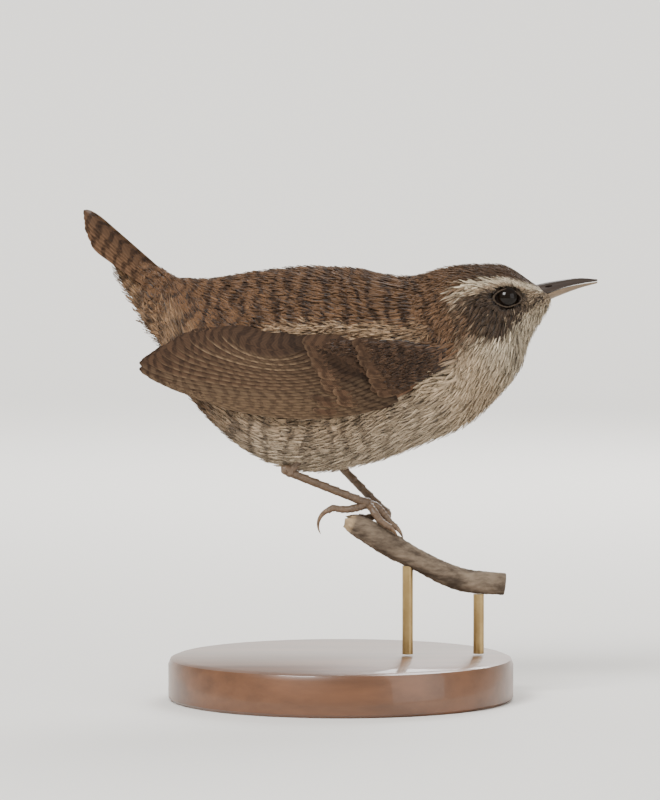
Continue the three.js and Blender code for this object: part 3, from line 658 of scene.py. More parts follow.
def long_vanes(middles, ups, faces, wides, thick, colours, bars, phases, every, rim_fade=0.45):
    """Closed vanes with a raised shaft.

    They are given by the places of their lower edge and two directions at each row.
    """
    count, rows = middles.shape[:2]
    ring = np.concatenate([LONG_ACROSS, LONG_ACROSS[::-1]])
    flat = np.zeros(len(LONG_ACROSS))
    below = np.concatenate([flat, flat + 1])
    shaft = 0.10 * np.exp(-((LONG_ACROSS - SHAFT_AT) / 0.05) ** 2)
    arch = 0.10 * (2 * LONG_ACROSS - 2 * SHAFT_AT) ** 2
    ridge = np.concatenate([shaft - arch, flat])
    across = ring * wides[..., None]
    height = ridge - below * thick + 0 * across
    places = middles[:, :, None] + ups[:, :, None] * across[..., None] + faces[:, :, None] * height[..., None]
    v = LONG_STATIONS[None, :, None] + 0 * across
    run = np.stack([run_of(line) for line in middles])
    vane_uv = np.stack(np.broadcast_arrays(ring[None, None], v), axis=-1)
    marks = np.zeros((count, rows, len(ring), 3))
    marks[..., 0] = run[..., None] / every[:, None, None] + phases[:, None, None]
    marks[..., 1] = bars[:, None, None] * (1 - rim_fade * smooth_step(0.16, 0.08, ring))
    marks[..., 2] = np.linspace(0, 1, count)[:, None, None]
    return places, vane_uv, vane_uv, colours(ring + 0 * across, v), marks


def stacked(sets):
    """Several sets of vane arrays of the same form as one."""
    return [np.concatenate(arrays) for arrays in zip(*sets)]


def bezier(start, bend, end, share):
    """Points of the curve from start to end that leans towards bend."""
    share = share[:, None]
    return (1 - share) ** 2 * start + 2 * share * (1 - share) * bend + share**2 * end


def wing_vane_rows(side, edge, wide, profile, raised, lean):
    """The rows of one wing feather: its lower edge, the directions across and outward, its widths."""
    tangent = np.gradient(edge, axis=0)
    tangent /= np.linalg.norm(tangent, axis=1)[:, None]
    up = np.stack([tangent[:, 1], -tangent[:, 0]], axis=1)
    # Towards the tip the lower edge curves up too, so that the tip is round.
    narrowed = wide * np.maximum(0, np.maximum.accumulate(profile) - profile)
    edge = edge + up * (0.42 * narrowed)[:, None]
    face_low = wing_face(edge[:, 0], edge[:, 1])
    high = edge + up
    face_high = wing_face(high[:, 0], high[:, 1])
    middles = np.stack([edge[:, 0], side * (face_low + raised), edge[:, 1]], axis=1)
    ups = np.stack([up[:, 0], side * (face_high - face_low - lean), up[:, 1]], axis=1)
    faces = np.tile(np.array([0.0, float(side), 0.0]), (len(edge), 1))
    return middles, ups, faces, wide * profile


def vane_profile(root, full, tip_round):
    """Widths from root to tip, with a rounded tip."""
    grow = root + (1 - root) * smooth_step(0, full, LONG_STATIONS)
    into_tip = np.clip((LONG_STATIONS - 1 + tip_round) / tip_round, 0, 1)
    close = np.sqrt(np.clip(1 - into_tip**2.2, 0, 1))
    return grow * np.maximum(close, 0.06)


def wing_feathers(side, rng):
    """The flight feathers of a folded wing, from the highest tertial to the lowest primary."""
    tips = through(WING["tips"], np.linspace(0, 1, 200))
    run = run_of(tips)
    count = WING["feathers"]
    shares = np.linspace(0, 1, count)
    rows = []
    for share in shares:
        root = between(WING["root_top"], WING["root_low"], share)
        bend = between(WING["bend_top"], WING["bend_low"], share)
        tip = np.array([np.interp(share * run[-1], run, tips[:, k]) for k in (0, 1)])
        tip += rng.normal(0, 0.06, 2)
        edge = bezier(root, bend, tip, LONG_STATIONS)
        profile = vane_profile(0.5, 0.3, 0.17 if share > 0.15 else 0.3)
        rows.append(wing_vane_rows(side, edge, WING["wide"], profile, WING["raised"], WING["lean"]))
    arrays = [np.stack(part) for part in zip(*rows)]
    primary = smooth_step(0.5, 0.62, shares)
    dark, pale = TINTS["wing"], TINTS["wing_pale"]
    base = blend(np.tile(dark, (count, 1)), dark * 0.75, primary) * rng.normal(1, 0.08, (count, 1))
    edge_tint = blend(np.tile(pale * 0.9, (count, 1)), pale * 0.85, primary)
    # Every other tertial has a pale outer edge.
    lined = np.where(shares < 0.32, np.where(np.arange(count) % 2 == 1, 0.95, 0.3), 0.5)

    def colours(across, v):
        rim = smooth_step(0.09, 0.02, across) * smooth_step(0.05, 0.2, v) * smooth_step(1.0, 0.9, v)
        web = 0.2 * smooth_step(0.5, 0.15, across) * primary[:, None, None]
        paler = np.maximum(rim * lined[:, None, None], web)
        return blend(base[:, None, None], edge_tint[:, None, None], paler)

    phases = rng.uniform(-0.09, 0.09, count) + 2.2 * shares
    every = 2.5 * rng.uniform(0.97, 1.03, count)
    return long_vanes(*arrays, 0.16, colours, np.full(count, 0.9), phases, every)


def covert_feathers(side, rng):
    """The larger wing coverts, one set of vanes for each of their rows."""
    sets = []
    for count, top, low, long, wide, raised in COVERT_ROWS:
        rows = []
        for share in np.linspace(0, 1, count):
            root = between(top, low, share) + rng.normal(0, 0.15, 2)
            sweep = np.array([-long * rng.uniform(0.92, 1.06), -0.6 - 1.8 * share**0.7])
            bend = root + sweep * 0.6 + np.array([0, -0.5])
            edge = bezier(root, bend, root + sweep + np.array([0, 0.9]), LONG_STATIONS)
            profile = vane_profile(0.5, 0.3, 0.34)
            middles, ups, faces, wides = wing_vane_rows(side, edge, wide, profile, 0.0, 0.16)
            middles[:, 1] += side * (0.2 + (raised - 0.2) * LONG_STATIONS)
            rows.append((middles, ups, faces, wides))
        arrays = [np.stack(part) for part in zip(*rows)]

        def colours(across, v, count=count):
            tone = rng.normal(1.0, 0.10, (count, 1, 1, 1))
            spot = smooth_step(0.88, 0.97, v) * smooth_step(0.6, 0.3, np.abs(across - 0.25))
            rim = smooth_step(0.16, 0.05, across) * smooth_step(0.1, 0.4, v)
            paler = np.maximum(0.14 * spot, 0.12 * rim)
            return blend(TINTS["wing"] * 1.1, TINTS["wing_pale"], paler) * tone

        phases = rng.uniform(-0.25, 0.25, count)
        every = 2.3 * rng.uniform(0.9, 1.1, count)
        sets.append(long_vanes(*arrays, 0.14, colours, np.full(count, 0.7), phases, every))
    return sets


def spread_bake(arrays, cells=8):
    """Gives each vane of a piece a square of its own in the bake map."""
    places, vane_uv, _, tints, marks = arrays
    index = np.arange(len(places))
    origin = np.stack([index % cells, index // cells], axis=1) / cells
    bake_uv = origin[:, None, None] + (vane_uv * 0.9 + 0.05) / cells
    return places, vane_uv, bake_uv, tints, marks


def wing_core(side):
    """The closed body under the wing's feathers."""

    def place(around, along):
        x = through(WING_CORE["x"], along)
        low = through(WING_CORE["low"], along)
        high = through(WING_CORE["high"], along)
        outer = around < 0.5
        across = np.where(outer, around * 2, 2 - around * 2)
        round_edge = np.sqrt(np.clip(1 - (2 * across - 1) ** 4, 0, 1))
        z = low + (high - low) * across
        face = wing_face(x, z)
        deep = np.where(outer, 0.5 - 0.5 * round_edge, 0.5 + 0.5 * round_edge)
        return np.stack([x, side * (face - WING_CORE["thick"] * deep), z], axis=1)

    return swept(40, 30, place)


def side_tufts(name, side, number, patch, material):
    """Rows of narrow feathers in the side view, on the face that the patch gives."""
    rng = np.random.default_rng(patch["seed"] + number)
    gap = patch["gap"]
    roots = []
    for row, x in enumerate(np.arange(*patch["rows"])):
        low = float(np.interp(x, *patch["low"]))
        high = float(np.interp(x, *patch["high"]))
        count = max(2, int((high - low) / gap) + 1)
        stagger = 0.4 * gap if row % 2 else 0.0
        z = np.linspace(low, high, count) + stagger + rng.uniform(-0.3, 0.3, count) * gap
        roots.append(np.stack([np.full(count, x) + rng.uniform(-0.4, 0.4, count), z], axis=1))
    roots = np.concatenate(roots)
    dip = np.interp(roots[:, 0], (-7, 8, 19), (0.05, 0.14, 0.30)) + rng.normal(0, 0.08, len(roots))
    shape = patch["feathers"](roots, rng)
    shape["unwrap"] = np.stack([(roots[:, 0] + 20) / 44, (roots[:, 1] - 54) / 20], axis=1)

    def surface(x, z, height):
        return np.stack([x, side * (patch["face"](x, z) + height), z], axis=-1)

    def wave(x, z):
        return -x / 2.3 + 0.3 * np.sin(0.8 * z)

    back = np.stack([-np.cos(dip), -np.sin(dip)], axis=1)
    across = np.stack([-np.sin(dip), np.cos(dip)], axis=1)
    arrays = tufts(surface, wave, roots, back, across, shape, LOCK, rng)
    return finished(name, vanes_mesh(name, *arrays), material, patch["slot"])


def small_feathers(count, rng, long, sunk, lifts, phase, bars):
    """Sizes of short narrow feathers. lifts holds the least and the most that their tips rise."""
    return {
        "long": long * rng.uniform(0.8, 1.2, count),
        "wide": 0.62 * rng.uniform(0.8, 1.2, count),
        "sunk": np.full(count, sunk),
        "lift": rng.uniform(*lifts, count),
        "cup": np.full(count, 0.04),
        "phase": rng.uniform(-phase, phase, count),
        "bars": np.full(count, bars),
    }


def lesser_coverts(roots, rng):
    """Small feathers over the shoulder of the wing."""
    tint = TINTS["wing"] * rng.normal(1.15, 0.2, (len(roots), 1))
    return {"tint": tint, **small_feathers(len(roots), rng, 2.9, 0.5, (0.5, 0.8), 0.15, 0.7)}


def breast_sides(roots, rng):
    """Locks of the breast's side that tuck over the wing's front edge."""
    count = len(roots)
    share = smooth_step(61.5, 65.5, roots[:, 1] + rng.normal(0, 0.7, count))
    shape = small_feathers(count, rng, 4.2, 0.6, (0.6, 1.8), 0.1, 0.12)
    shape["tint"] = blend(TINTS["breast"], TINTS["back"], share) * rng.normal(1.0, 0.14, (count, 1))
    return shape


def scapulars(roots, rng):
    """Narrow locks of the feathers that hang over the wing's upper edge."""
    share = rng.uniform(0.3, 1.0, (len(roots), 1))
    tint = between(TINTS["back"], TINTS["wing_pale"] * 1.25, share)
    return {"tint": tint, **small_feathers(len(roots), rng, 4.4, 0.7, (0.15, 0.9), 0.1, 0.45)}


# Patches of small feathers beside the trunk. rows holds the first x, the end and the step, and
# low and high are the edges of the patch as x and z.
SIDE_PATCHES = {
    "wing_{}_coverts": {
        "face": wing_face,
        "rows": (0.0, 19.2, 0.5),
        "gap": 0.36,
        "low": ((-1, 4, 12, 19), (65.4, 65.0, 58.4, 62.4)),
        "high": ((-1, 4, 12, 19), (66.6, 67.0, 66.8, 65.4)),
        "feathers": lesser_coverts,
        "slot": "wing_feathers",
        "seed": 80,
    },
    "scapulars_{}": {
        "face": trunk_reach,
        "rows": (-11.0, 17.5, 0.75),
        "gap": 0.45,
        "low": ((-11, 16), (67.4, 66.9)),
        "high": ((-11, 0, 16), (69.0, 70.0, 69.2)),
        "feathers": scapulars,
        "slot": "plumage",
        "seed": 84,
    },
    "breast_side_{}": {
        "face": trunk_reach,
        "rows": (17.2, 22.6, 0.55),
        "gap": 0.42,
        "low": ((17, 22.5), (57.0, 60.0)),
        "high": ((17, 22.5), (66.6, 66.4)),
        "feathers": breast_sides,
        "slot": "plumage",
        "seed": 86,
    },
}


def tail_feather_arrays(rng):
    """The tail feathers, in pairs from the middle out, roofed and slightly spread."""
    start = np.array([TAIL["root"][0], 0, TAIL["root"][1]])
    end = np.array([TAIL["middle_tip"][0], 0, TAIL["middle_tip"][1]])
    whole = np.linalg.norm(end - start)
    along = (end - start) / whole
    up = np.array([along[2], 0, -along[0]])
    roof = math.radians(TAIL["roof"])
    spread = TAIL["root_spread"] + (TAIL["tip_spread"] - TAIL["root_spread"]) * LONG_STATIONS
    rows = []
    for pair in range(TAIL["pairs"]):
        outward = pair / (TAIL["pairs"] - 1)
        for side in (RIGHT, LEFT):
            slope = np.array([0, side * math.cos(roof), 0]) - up * math.sin(roof)
            face = np.array([0, side * math.sin(roof), 0]) + up * math.cos(roof)
            long = whole - outward**1.5 * TAIL["outer_shorter"] + rng.normal(0, 0.15)
            wides = TAIL["wide"] * vane_profile(0.5, 0.35, 0.17)
            off = outward * spread + TAIL["wide"] * 0.3 + 0.5 * wides
            raised = TAIL["raised"] - outward * 0.35 + 0.5 * wides * TAIL["lean"]
            middles = start + along * (long * LONG_STATIONS)[:, None] + slope * off[:, None]
            middles = middles + face * raised[:, None]
            ups = np.tile(-slope - face * TAIL["lean"], (LONG_ROWS, 1))
            rows.append((middles, ups, np.tile(face, (LONG_ROWS, 1)), wides))
    arrays = [np.stack(part) for part in zip(*rows)]
    count = len(rows)
    tone = rng.normal(1.0, 0.06, (count, 1, 1, 1))

    def colours(across, v):
        return TINTS["tail"] * (1 + 0.3 * smooth_step(0.16, 0.03, across))[..., None] * tone

    phases = rng.uniform(-0.1, 0.1, count)
    return long_vanes(*arrays, 0.16, colours, np.full(count, 0.95), phases, np.full(count, 2.5), 0.15)


def covert_tufts(name, form, gap, locks, long, wide, lift, material, seed):
    """The coverts that wrap the tail's root, loose and fluffy below."""
    rng = np.random.default_rng(seed)
    roots = []
    for row, share in enumerate(np.arange(0.0, 0.9, 0.04 * gap)):
        half = float(through(TAIL_COVERTS.halves, share))
        count = max(6, int(2 * math.pi * half / gap))
        at = (np.arange(count) + 0.5 * (row % 2) + rng.uniform(-0.3, 0.3, count)) / count
        turns = at * 2 * math.pi - math.pi
        roots.append(np.stack([np.clip(share + rng.uniform(-0.02, 0.02, count), 0, 1), turns], axis=1))
    roots = np.repeat(np.concatenate(roots), locks, axis=0)
    share, turn = roots[:, 0], roots[:, 1]
    along, around = TAIL_COVERTS.rates(share, turn)
    below = smooth_step(1.5, 2.6, np.abs(turn))
    count = len(roots)
    tint = blend(np.tile(TINTS["rump"], (count, 1)), TINTS["vent"] * 1.25, below)
    swing = rng.normal(0, 0.14 + 0.12 * (locks > 1), count)
    shape = {
        "long": (long + 1.2 * below) * rng.uniform(0.8, 1.15, count) * (1 - 0.35 * share * (1 - below)),
        "wide": wide * rng.uniform(0.85, 1.15, count),
        "sunk": np.full(count, 0.8),
        "lift": lift * (0.3 + below) * rng.uniform(0, 1.2, count),
        "cup": np.full(count, 0.07 * wide),
        "phase": rng.uniform(-0.1, 0.1, count),
        "bars": 0.6 + 0.2 * below,
        "tint": tint * rng.normal(1.0, 0.1, (count, 1)),
        "unwrap": np.stack([turn / (2 * math.pi) % 1.0, share], axis=1),
    }

    def wave(share, turn):
        return -share * TAIL_COVERTS_LONG / 2.4 + 0.2 * np.sin(3 * turn)

    back = np.stack([np.cos(swing) / along, np.sin(swing) / around], axis=1)
    across = np.stack([-np.sin(swing) / along, np.cos(swing) / around], axis=1)
    arrays = tufts(TAIL_COVERTS.at, wave, roots, back, across, shape, form, rng)
    return finished(name, vanes_mesh(name, *arrays), material, "tail_feathers")


# Legs, feet, claws and twig: the same places as in the solids

TWIG = (
    ((0.5, -0.7, 33.2), 1.15),
    ((2.6, -0.6, 32.4), 1.9),
    ((5.0, -0.5, 31.2), 2.2),
    ((8.5, -0.3, 29.0), 2.25),
    ((14.8, 0.2, 25.5), 2.0),
    ((22.0, 0.8, 22.2), 2.15),
    ((30.4, 1.5, 21.2), 2.05),
)
LEGS = (
    {
        "name": "right",
        "thigh": (-3.0, -6.6, 51.0),
        "heel": (-9.4, -6.4, 42.5),
        "joint": (5.1, -0.5, 36.3),
        "toes": {
            "hind": (((-1.8, -12, 1.4), (-3.7, -14, 0.85), (-5.4, -14, 0.45), (-6.3, -14, -0.4)), 5.4, 100),
            "inner": (((1.2, 24, 2.3), (2.5, 36, 1.4), (3.8, 42, 1.15)), 2.2, 40),
            "middle": (((1.4, 2, 2.6), (3.0, 4, 1.9), (4.6, 6, 1.3), (6.2, 8, 1.15)), 2.6, 40),
            "outer": (((1.2, -26, 2.1), (2.8, -34, 1.3), (5.0, -34, 1.1)), 2.4, 40),
        },
    },
    {
        "name": "left",
        "thigh": (2.5, 6.4, 52.5),
        "heel": (-3.0, 5.6, 46.0),
        "joint": (8.5, 2.4, 34.2),
        "toes": {
            "hind": (((-1.3, 42, 2.0), (-2.6, 54, 1.2), (-3.9, 60, 1.2)), 2.4, 40),
            "inner": (((1.6, 50, 2.0), (3.2, 62, 1.2), (5.0, 66, 1.15)), 2.4, 40),
            "middle": (((1.6, 72, 2.1), (3.4, 94, 1.3), (5.4, 100, 1.1), (6.8, 102, 1.2)), 2.6, 40),
            "outer": (((1.0, 80, 1.8), (2.4, 110, 1.1), (4.2, 124, 1.1)), 2.2, 40),
        },
    },
)
TARSUS_RADIUS = 0.62
TOE_RADIUS = 0.76
TOE_TIP_RADIUS = 0.56
CLAW_RADIUS = 0.42


def centripetal(stops, count=600):
    """Evenly spaced points of the centripetal curve through the stops."""
    stops = np.asarray(stops, float)
    padded = np.concatenate([[2 * stops[0] - stops[1]], stops, [2 * stops[-1] - stops[-2]]])
    out = []
    for i in range(len(stops) - 1):
        p0, p1, p2, p3 = padded[i:i + 4]
        pairs = ((p0, p1), (p1, p2), (p2, p3))
        d0, d1, d2 = (max(np.linalg.norm(b - a) ** 0.5, 1e-4) for a, b in pairs)
        t1 = ((p1 - p0) / d0 - (p2 - p0) / (d0 + d1) + (p2 - p1) / d1) * d1
        t2 = ((p2 - p1) / d1 - (p3 - p1) / (d1 + d2) + (p3 - p2) / d2) * d1
        w = np.linspace(0, 1, 60, endpoint=False)[:, None]
        cubed = (2 * p1 - 2 * p2 + t1 + t2) * w**3
        squared = (-3 * p1 + 3 * p2 - 2 * t1 - t2) * w**2
        out.append(cubed + squared + t1 * w + p1)
    out.append(stops[-1:])
    return evenly(np.concatenate(out), count)


def evenly(line, count):
    """Evenly spaced points of a line."""
    run = run_of(line)
    at = np.linspace(0, run[-1], count)
    return np.stack([np.interp(at, run, line[:, k]) for k in range(line.shape[1])], axis=1)


TWIG_LINE = centripetal([stop[0] for stop in TWIG])
TWIG_LONG = float(run_of(TWIG_LINE)[-1])


def twig_share(point):
    """The share along the twig that is nearest to a place."""
    return np.linalg.norm(TWIG_LINE - np.asarray(point), axis=1).argmin() / (len(TWIG_LINE) - 1)


TWIG_STOP_AT = [twig_share(middle) for middle, _ in TWIG]


def twig_frame(distance):
    """Middle, directions along, up and across, and radius at a distance along the twig."""
    distance = np.asarray(distance, float)
    share = np.clip(distance / TWIG_LONG, 0, 1)
    index = share * (len(TWIG_LINE) - 1)
    grid = np.arange(len(TWIG_LINE))
    middle = np.stack([np.interp(index, grid, TWIG_LINE[:, k]) for k in range(3)], axis=-1)
    slope = np.gradient(TWIG_LINE, axis=0)
    along = np.stack([np.interp(index, grid, slope[:, k]) for k in range(3)], axis=-1)
    along /= np.linalg.norm(along, axis=-1, keepdims=True)
    middle = middle + along * (distance - share * TWIG_LONG)[..., None]
    crest = np.array([0, 0, 1.0]) - along * along[..., 2:3]
    crest /= np.linalg.norm(crest, axis=-1, keepdims=True)
    stops = np.interp(share, TWIG_STOP_AT, np.linspace(0, 1, len(TWIG)))
    radius = through([stop[1] for stop in TWIG], stops)
    return middle, along, crest, np.cross(crest, along), radius


def on_twig(distance, degrees, height):
    """Places on the twig's surface, or at a height over it, turned from its crest."""
    middle, _, crest, beside, radius = twig_frame(distance)
    turn = np.radians(degrees)
    reach = (radius + height)[..., None]
    return middle + crest * reach * np.cos(turn)[..., None] + beside * reach * np.sin(turn)[..., None]


def toe_line(leg, stops):
    """The middle of a toe, from the joint of the leg over its stops on the twig."""
    stand = twig_share(leg["joint"]) * TWIG_LONG
    places = [on_twig(stand + ahead, degrees, height) for ahead, degrees, height in stops]
    dense = through(np.array([np.array(leg["joint"])] + places), np.linspace(0, 1, 240))
    return evenly(dense, 240)


def rings_about(line, radius, columns, rows, plump=1.0, pads=None):
    """A limb round a line. radius gives its thickness at a share, and pads a swelling of its lower side."""
    grid = np.arange(len(line))
    slope = np.gradient(line, axis=0)

    def place(around, along):
        at = along * (len(line) - 1)
        middle = np.stack([np.interp(at, grid, line[:, k]) for k in range(3)], axis=1)
        way = np.stack([np.interp(at, grid, slope[:, k]) for k in range(3)], axis=1)
        way /= np.linalg.norm(way, axis=1)[:, None]
        beside = np.array([0, 1.0, 0]) - way * way[:, 1:2]
        beside /= np.linalg.norm(beside, axis=1)[:, None]
        over = np.cross(way, beside)
        turn = around * 2 * math.pi
        r = radius(along, turn)
        if pads is not None:
            r = r + pads(along, turn)
        return middle + beside * (r * np.cos(turn))[:, None] + over * (r * plump * np.sin(turn))[:, None]

    return swept(columns, rows, place)


def scutes(count, step, front):
    """Overlapping scutes: each flares towards its far edge, on the front of the limb."""

    def flare(share, turn):
        within = (share * count) % 1.0
        facing = 0.35 + 0.65 * smooth_step(-0.3, 0.5, front * np.sin(turn))
        return step * facing * (within**1.6) * smooth_step(1.0, 0.93, within)

    return flare


# Materials


def node(tree, kind, location, **values):
    """A new node at a location, with the given properties."""
    made = tree.nodes.new(kind)
    made.location = location
    for key, value in values.items():
        setattr(made, key, value)
    return made


def set_inputs(target, **values):
    """Sets inputs of a node, with spaces in their names written as underscores."""
    for name, value in values.items():
        target.inputs[name.replace("_", " ")].default_value = value


def noise_node(tree, location, vector, scale, detail=3.0, **values):
    """A noise texture that is read at a vector."""
    made = node(tree, "ShaderNodeTexNoise", location)
    set_inputs(made, Scale=scale, Detail=detail, **values)
    tree.links.new(vector, made.inputs["Vector"])
    return made


def math_node(tree, operation, a, b=None, clamp=False):
    """The result of one operation on numbers or sockets."""
    made = tree.nodes.new("ShaderNodeMath")
    made.operation = operation
    made.use_clamp = clamp
    for socket, value in zip(made.inputs, (a, b)):
        if value is None:
            continue
        if isinstance(value, (int, float)):
            socket.default_value = value
        else:
            tree.links.new(value, socket)
    return made.outputs[0]


def ranged(tree, value, low, high, to_low=0.0, to_high=1.0):
    """A value moved smoothly from one range to another."""
    made = tree.nodes.new("ShaderNodeMapRange")
    made.interpolation_type = "SMOOTHSTEP"
    set_inputs(made, From_Min=low, From_Max=high, To_Min=to_low, To_Max=to_high)
    tree.links.new(value, made.inputs["Value"])
    return made.outputs["Result"]


def mixed(tree, factor, a, b):
    """A mix of two colours, each a tuple or a socket."""
    made = tree.nodes.new("ShaderNodeMix")
    made.data_type = "RGBA"
    for name, value in (("Factor", factor), ("A", a), ("B", b)):
        socket = next(s for s in made.inputs if s.name == name and s.enabled)
        if isinstance(value, (int, float)):
            socket.default_value = value
        elif isinstance(value, tuple):
            socket.default_value = (*value, 1.0)
        else:
            tree.links.new(value, socket)
    return next(s for s in made.outputs if s.enabled)


def feather_group():
    """Colour and height of a feather's web: dark cross bars and fine barbs."""
    name = "Feather web"
    if name in bpy.data.node_groups:
        return bpy.data.node_groups[name]
    tree = bpy.data.node_groups.new(name, "ShaderNodeTree")
    for label, kind, start in (
        ("Bar colour", "NodeSocketColor", (0.022, 0.011, 0.006, 1.0)),
        ("Bar width", "NodeSocketFloat", 0.42),
        ("Barb count", "NodeSocketFloat", 40.0),
        ("Bar slant", "NodeSocketFloat", 0.25),
    ):
        socket = tree.interface.new_socket(label, in_out="INPUT", socket_type=kind)
        socket.default_value = start
    tree.interface.new_socket("Colour", in_out="OUTPUT", socket_type="NodeSocketColor")
    tree.interface.new_socket("Height", in_out="OUTPUT", socket_type="NodeSocketFloat")
    inputs = node(tree, "NodeGroupInput", (-900, 0))
    tint = node(tree, "ShaderNodeAttribute", (-900, 300), attribute_name="tint")
    marks = node(tree, "ShaderNodeAttribute", (-900, -200), attribute_name="marks")
    parts = node(tree, "ShaderNodeSeparateXYZ", (-700, -200))
    tree.links.new(marks.outputs["Vector"], parts.inputs[0])
    wave, strength, chance = parts.outputs
    web = node(tree, "ShaderNodeUVMap", (-900, -500), uv_map="Vane")
    web_parts = node(tree, "ShaderNodeSeparateXYZ", (-700, -500))
    tree.links.new(web.outputs[0], web_parts.inputs[0])
    across, along = web_parts.outputs[0], web_parts.outputs[1]
    place = node(tree, "ShaderNodeTexCoord", (-900, -800))
    noise = noise_node(tree, (-700, -800), place.outputs["Object"], 260.0)
    wobble = math_node(tree, "MULTIPLY", math_node(tree, "SUBTRACT", noise.outputs[0], 0.5), 1.5)
    bow = math_node(tree, "ABSOLUTE", math_node(tree, "SUBTRACT", across, 0.5))
    slanted = math_node(tree, "MULTIPLY", bow, inputs.outputs["Bar slant"])
    bent = math_node(tree, "ADD", math_node(tree, "ADD", wave, wobble), slanted)
    centred = math_node(tree, "ABSOLUTE", math_node(tree, "SUBTRACT", math_node(tree, "FRACT", bent), 0.5))
    half = math_node(tree, "MULTIPLY", inputs.outputs["Bar width"], 0.5)
    bar = ranged(tree, math_node(tree, "SUBTRACT", half, centred), -0.08, 0.08)
    mask = math_node(tree, "MULTIPLY", bar, strength, clamp=True)
    fray = noise_node(tree, (-700, -1100), place.outputs["Object"], 1900.0)
    soft = ranged(tree, fray.outputs[0], 0.3, 0.7, 0.55, 1.1)
    mask = math_node(tree, "MULTIPLY", mask, soft, clamp=True)
    slant = math_node(tree, "ADD", math_node(tree, "MULTIPLY", bow, 0.35), along)
    barbs = math_node(tree, "SINE", math_node(tree, "MULTIPLY", slant, inputs.outputs["Barb count"]))
    barb = ranged(tree, barbs, -1.0, 1.0, 0.88, 1.08)
    # Painted shade: the web darkens towards its root, where the next feathers overlap it.
    root_shade = ranged(tree, along, 0.0, 0.55, 0.62, 1.0)
    shade = math_node(tree, "MULTIPLY", barb, ranged(tree, chance, 0.0, 1.0, 0.86, 1.12))
    shade = math_node(tree, "MULTIPLY", shade, root_shade)
    coloured = mixed(tree, mask, tint.outputs["Color"], inputs.outputs["Bar colour"])
    shaded = node(tree, "ShaderNodeVectorMath", (0, 200), operation="SCALE")
    tree.links.new(coloured, shaded.inputs[0])
    tree.links.new(shade, shaded.inputs["Scale"])
    outputs = node(tree, "NodeGroupOutput", (300, 0))
    tree.links.new(shaded.outputs[0], outputs.inputs["Colour"])
    tree.links.new(barbs, outputs.inputs["Height"])
    return tree


def new_material(name):
    """The material of a name, and its node tree if it had to be made."""
    material = bpy.data.materials.get(name)
    if material:
        return material, None
    material = bpy.data.materials.new(name)
    material.use_nodes = True
    return material, material.node_tree


def feather_material(name, width, barbs, slant=0.25, sheen=0.08):
    """A matt material whose colour and bump come from the feather web."""
    material, tree = new_material(name)
    if tree is None:
        return material
    shader = tree.nodes["Principled BSDF"]
    set_inputs(shader, Roughness=0.78, Sheen_Weight=sheen, Sheen_Roughness=0.5, Specular_IOR_Level=0.14)
    web = node(tree, "ShaderNodeGroup", (-500, 0))
    web.node_tree = feather_group()
    set_inputs(web, Bar_width=width, Barb_count=barbs, Bar_slant=slant)
    bump = node(tree, "ShaderNodeBump", (-250, -200))
    set_inputs(bump, Strength=0.3, Distance=0.00003)
    tree.links.new(web.outputs["Height"], bump.inputs["Height"])
    tree.links.new(bump.outputs[0], shader.inputs["Normal"])
    tree.links.new(web.outputs["Colour"], shader.inputs["Base Color"])
    return material


def mottled_material(name, colours, scale, roughness, bump_depth=0.0, stretch=(1, 1, 1), **finish):
    """A material whose colour wanders between two, with a matching bump."""
    material, tree = new_material(name)
    if tree is None:
        return material
    shader = tree.nodes["Principled BSDF"]
    set_inputs(shader, Roughness=roughness, **finish)
    place = node(tree, "ShaderNodeTexCoord", (-1000, 0))
    stretched = node(tree, "ShaderNodeMapping", (-800, 0))
    set_inputs(stretched, Scale=stretch)
    tree.links.new(place.outputs["Object"], stretched.inputs["Vector"])
    noise = noise_node(tree, (-600, 0), stretched.outputs[0], scale, 6.0, Roughness=0.6)
    factor = ranged(tree, noise.outputs[0], 0.3, 0.7)
    tree.links.new(mixed(tree, factor, colours[0], colours[1]), shader.inputs["Base Color"])
    if bump_depth:
        bump = node(tree, "ShaderNodeBump", (-250, -200))
        set_inputs(bump, Strength=0.6, Distance=bump_depth)
        tree.links.new(noise.outputs[0], bump.inputs["Height"])
        tree.links.new(bump.outputs[0], shader.inputs["Normal"])
    return material


def plumage_material(context):
    """The material of the small body feathers."""
    return feather_material("Plumage", context.scene.wren_plumage.bar_width, 12.0)


def under_material():
    """The plain material of the bodies under long feathers."""
    return mottled_material("Wing under", ((0.10, 0.05, 0.024), (0.16, 0.08, 0.04)), 900, 0.8)


# Settings


def colour_setting(name, description, colour):
    return bpy.props.FloatVectorProperty(
        name=name, description=description, subtype="COLOR", default=colour)


class PlumageSettings(bpy.types.PropertyGroup):
    body_spacing: bpy.props.FloatProperty(
        name="Body feather spacing", description="Distance between body feathers, in millimetres",
        default=1.5, min=0.9)
    face_spacing: bpy.props.FloatProperty(
        name="Face feather spacing", description="Distance between face feathers, in millimetres",
        default=0.62, min=0.4)
    bar_width: bpy.props.FloatProperty(
        name="Bar width", description="How much of the spacing the dark bars on the body take",
        default=0.42, min=0.1)


class FinishSettings(bpy.types.PropertyGroup):
    upper_bill: colour_setting("Upper bill", "Colour of the upper mandible", (0.034, 0.021, 0.014))
    lower_bill: colour_setting("Lower bill", "Colour of the lower mandible", (0.20, 0.135, 0.08))
    leg: colour_setting("Legs", "Colour of the legs and toes", (0.150, 0.095, 0.058))
    wood: colour_setting("Base wood", "Colour of the base", (0.085, 0.036, 0.016))


class StageSettings(bpy.types.PropertyGroup):
    distance: bpy.props.FloatProperty(
        name="Camera distance", description="From the camera to the bird",
        default=0.9, min=0.3, unit="LENGTH")
    elevation: bpy.props.FloatProperty(
        name="Camera elevation", description="Above the horizon", default=math.radians(3), subtype="ANGLE")
    key_power: bpy.props.FloatProperty(
        name="Key light", description="Power of the key light in watts", default=11.0, min=0)


# Operators

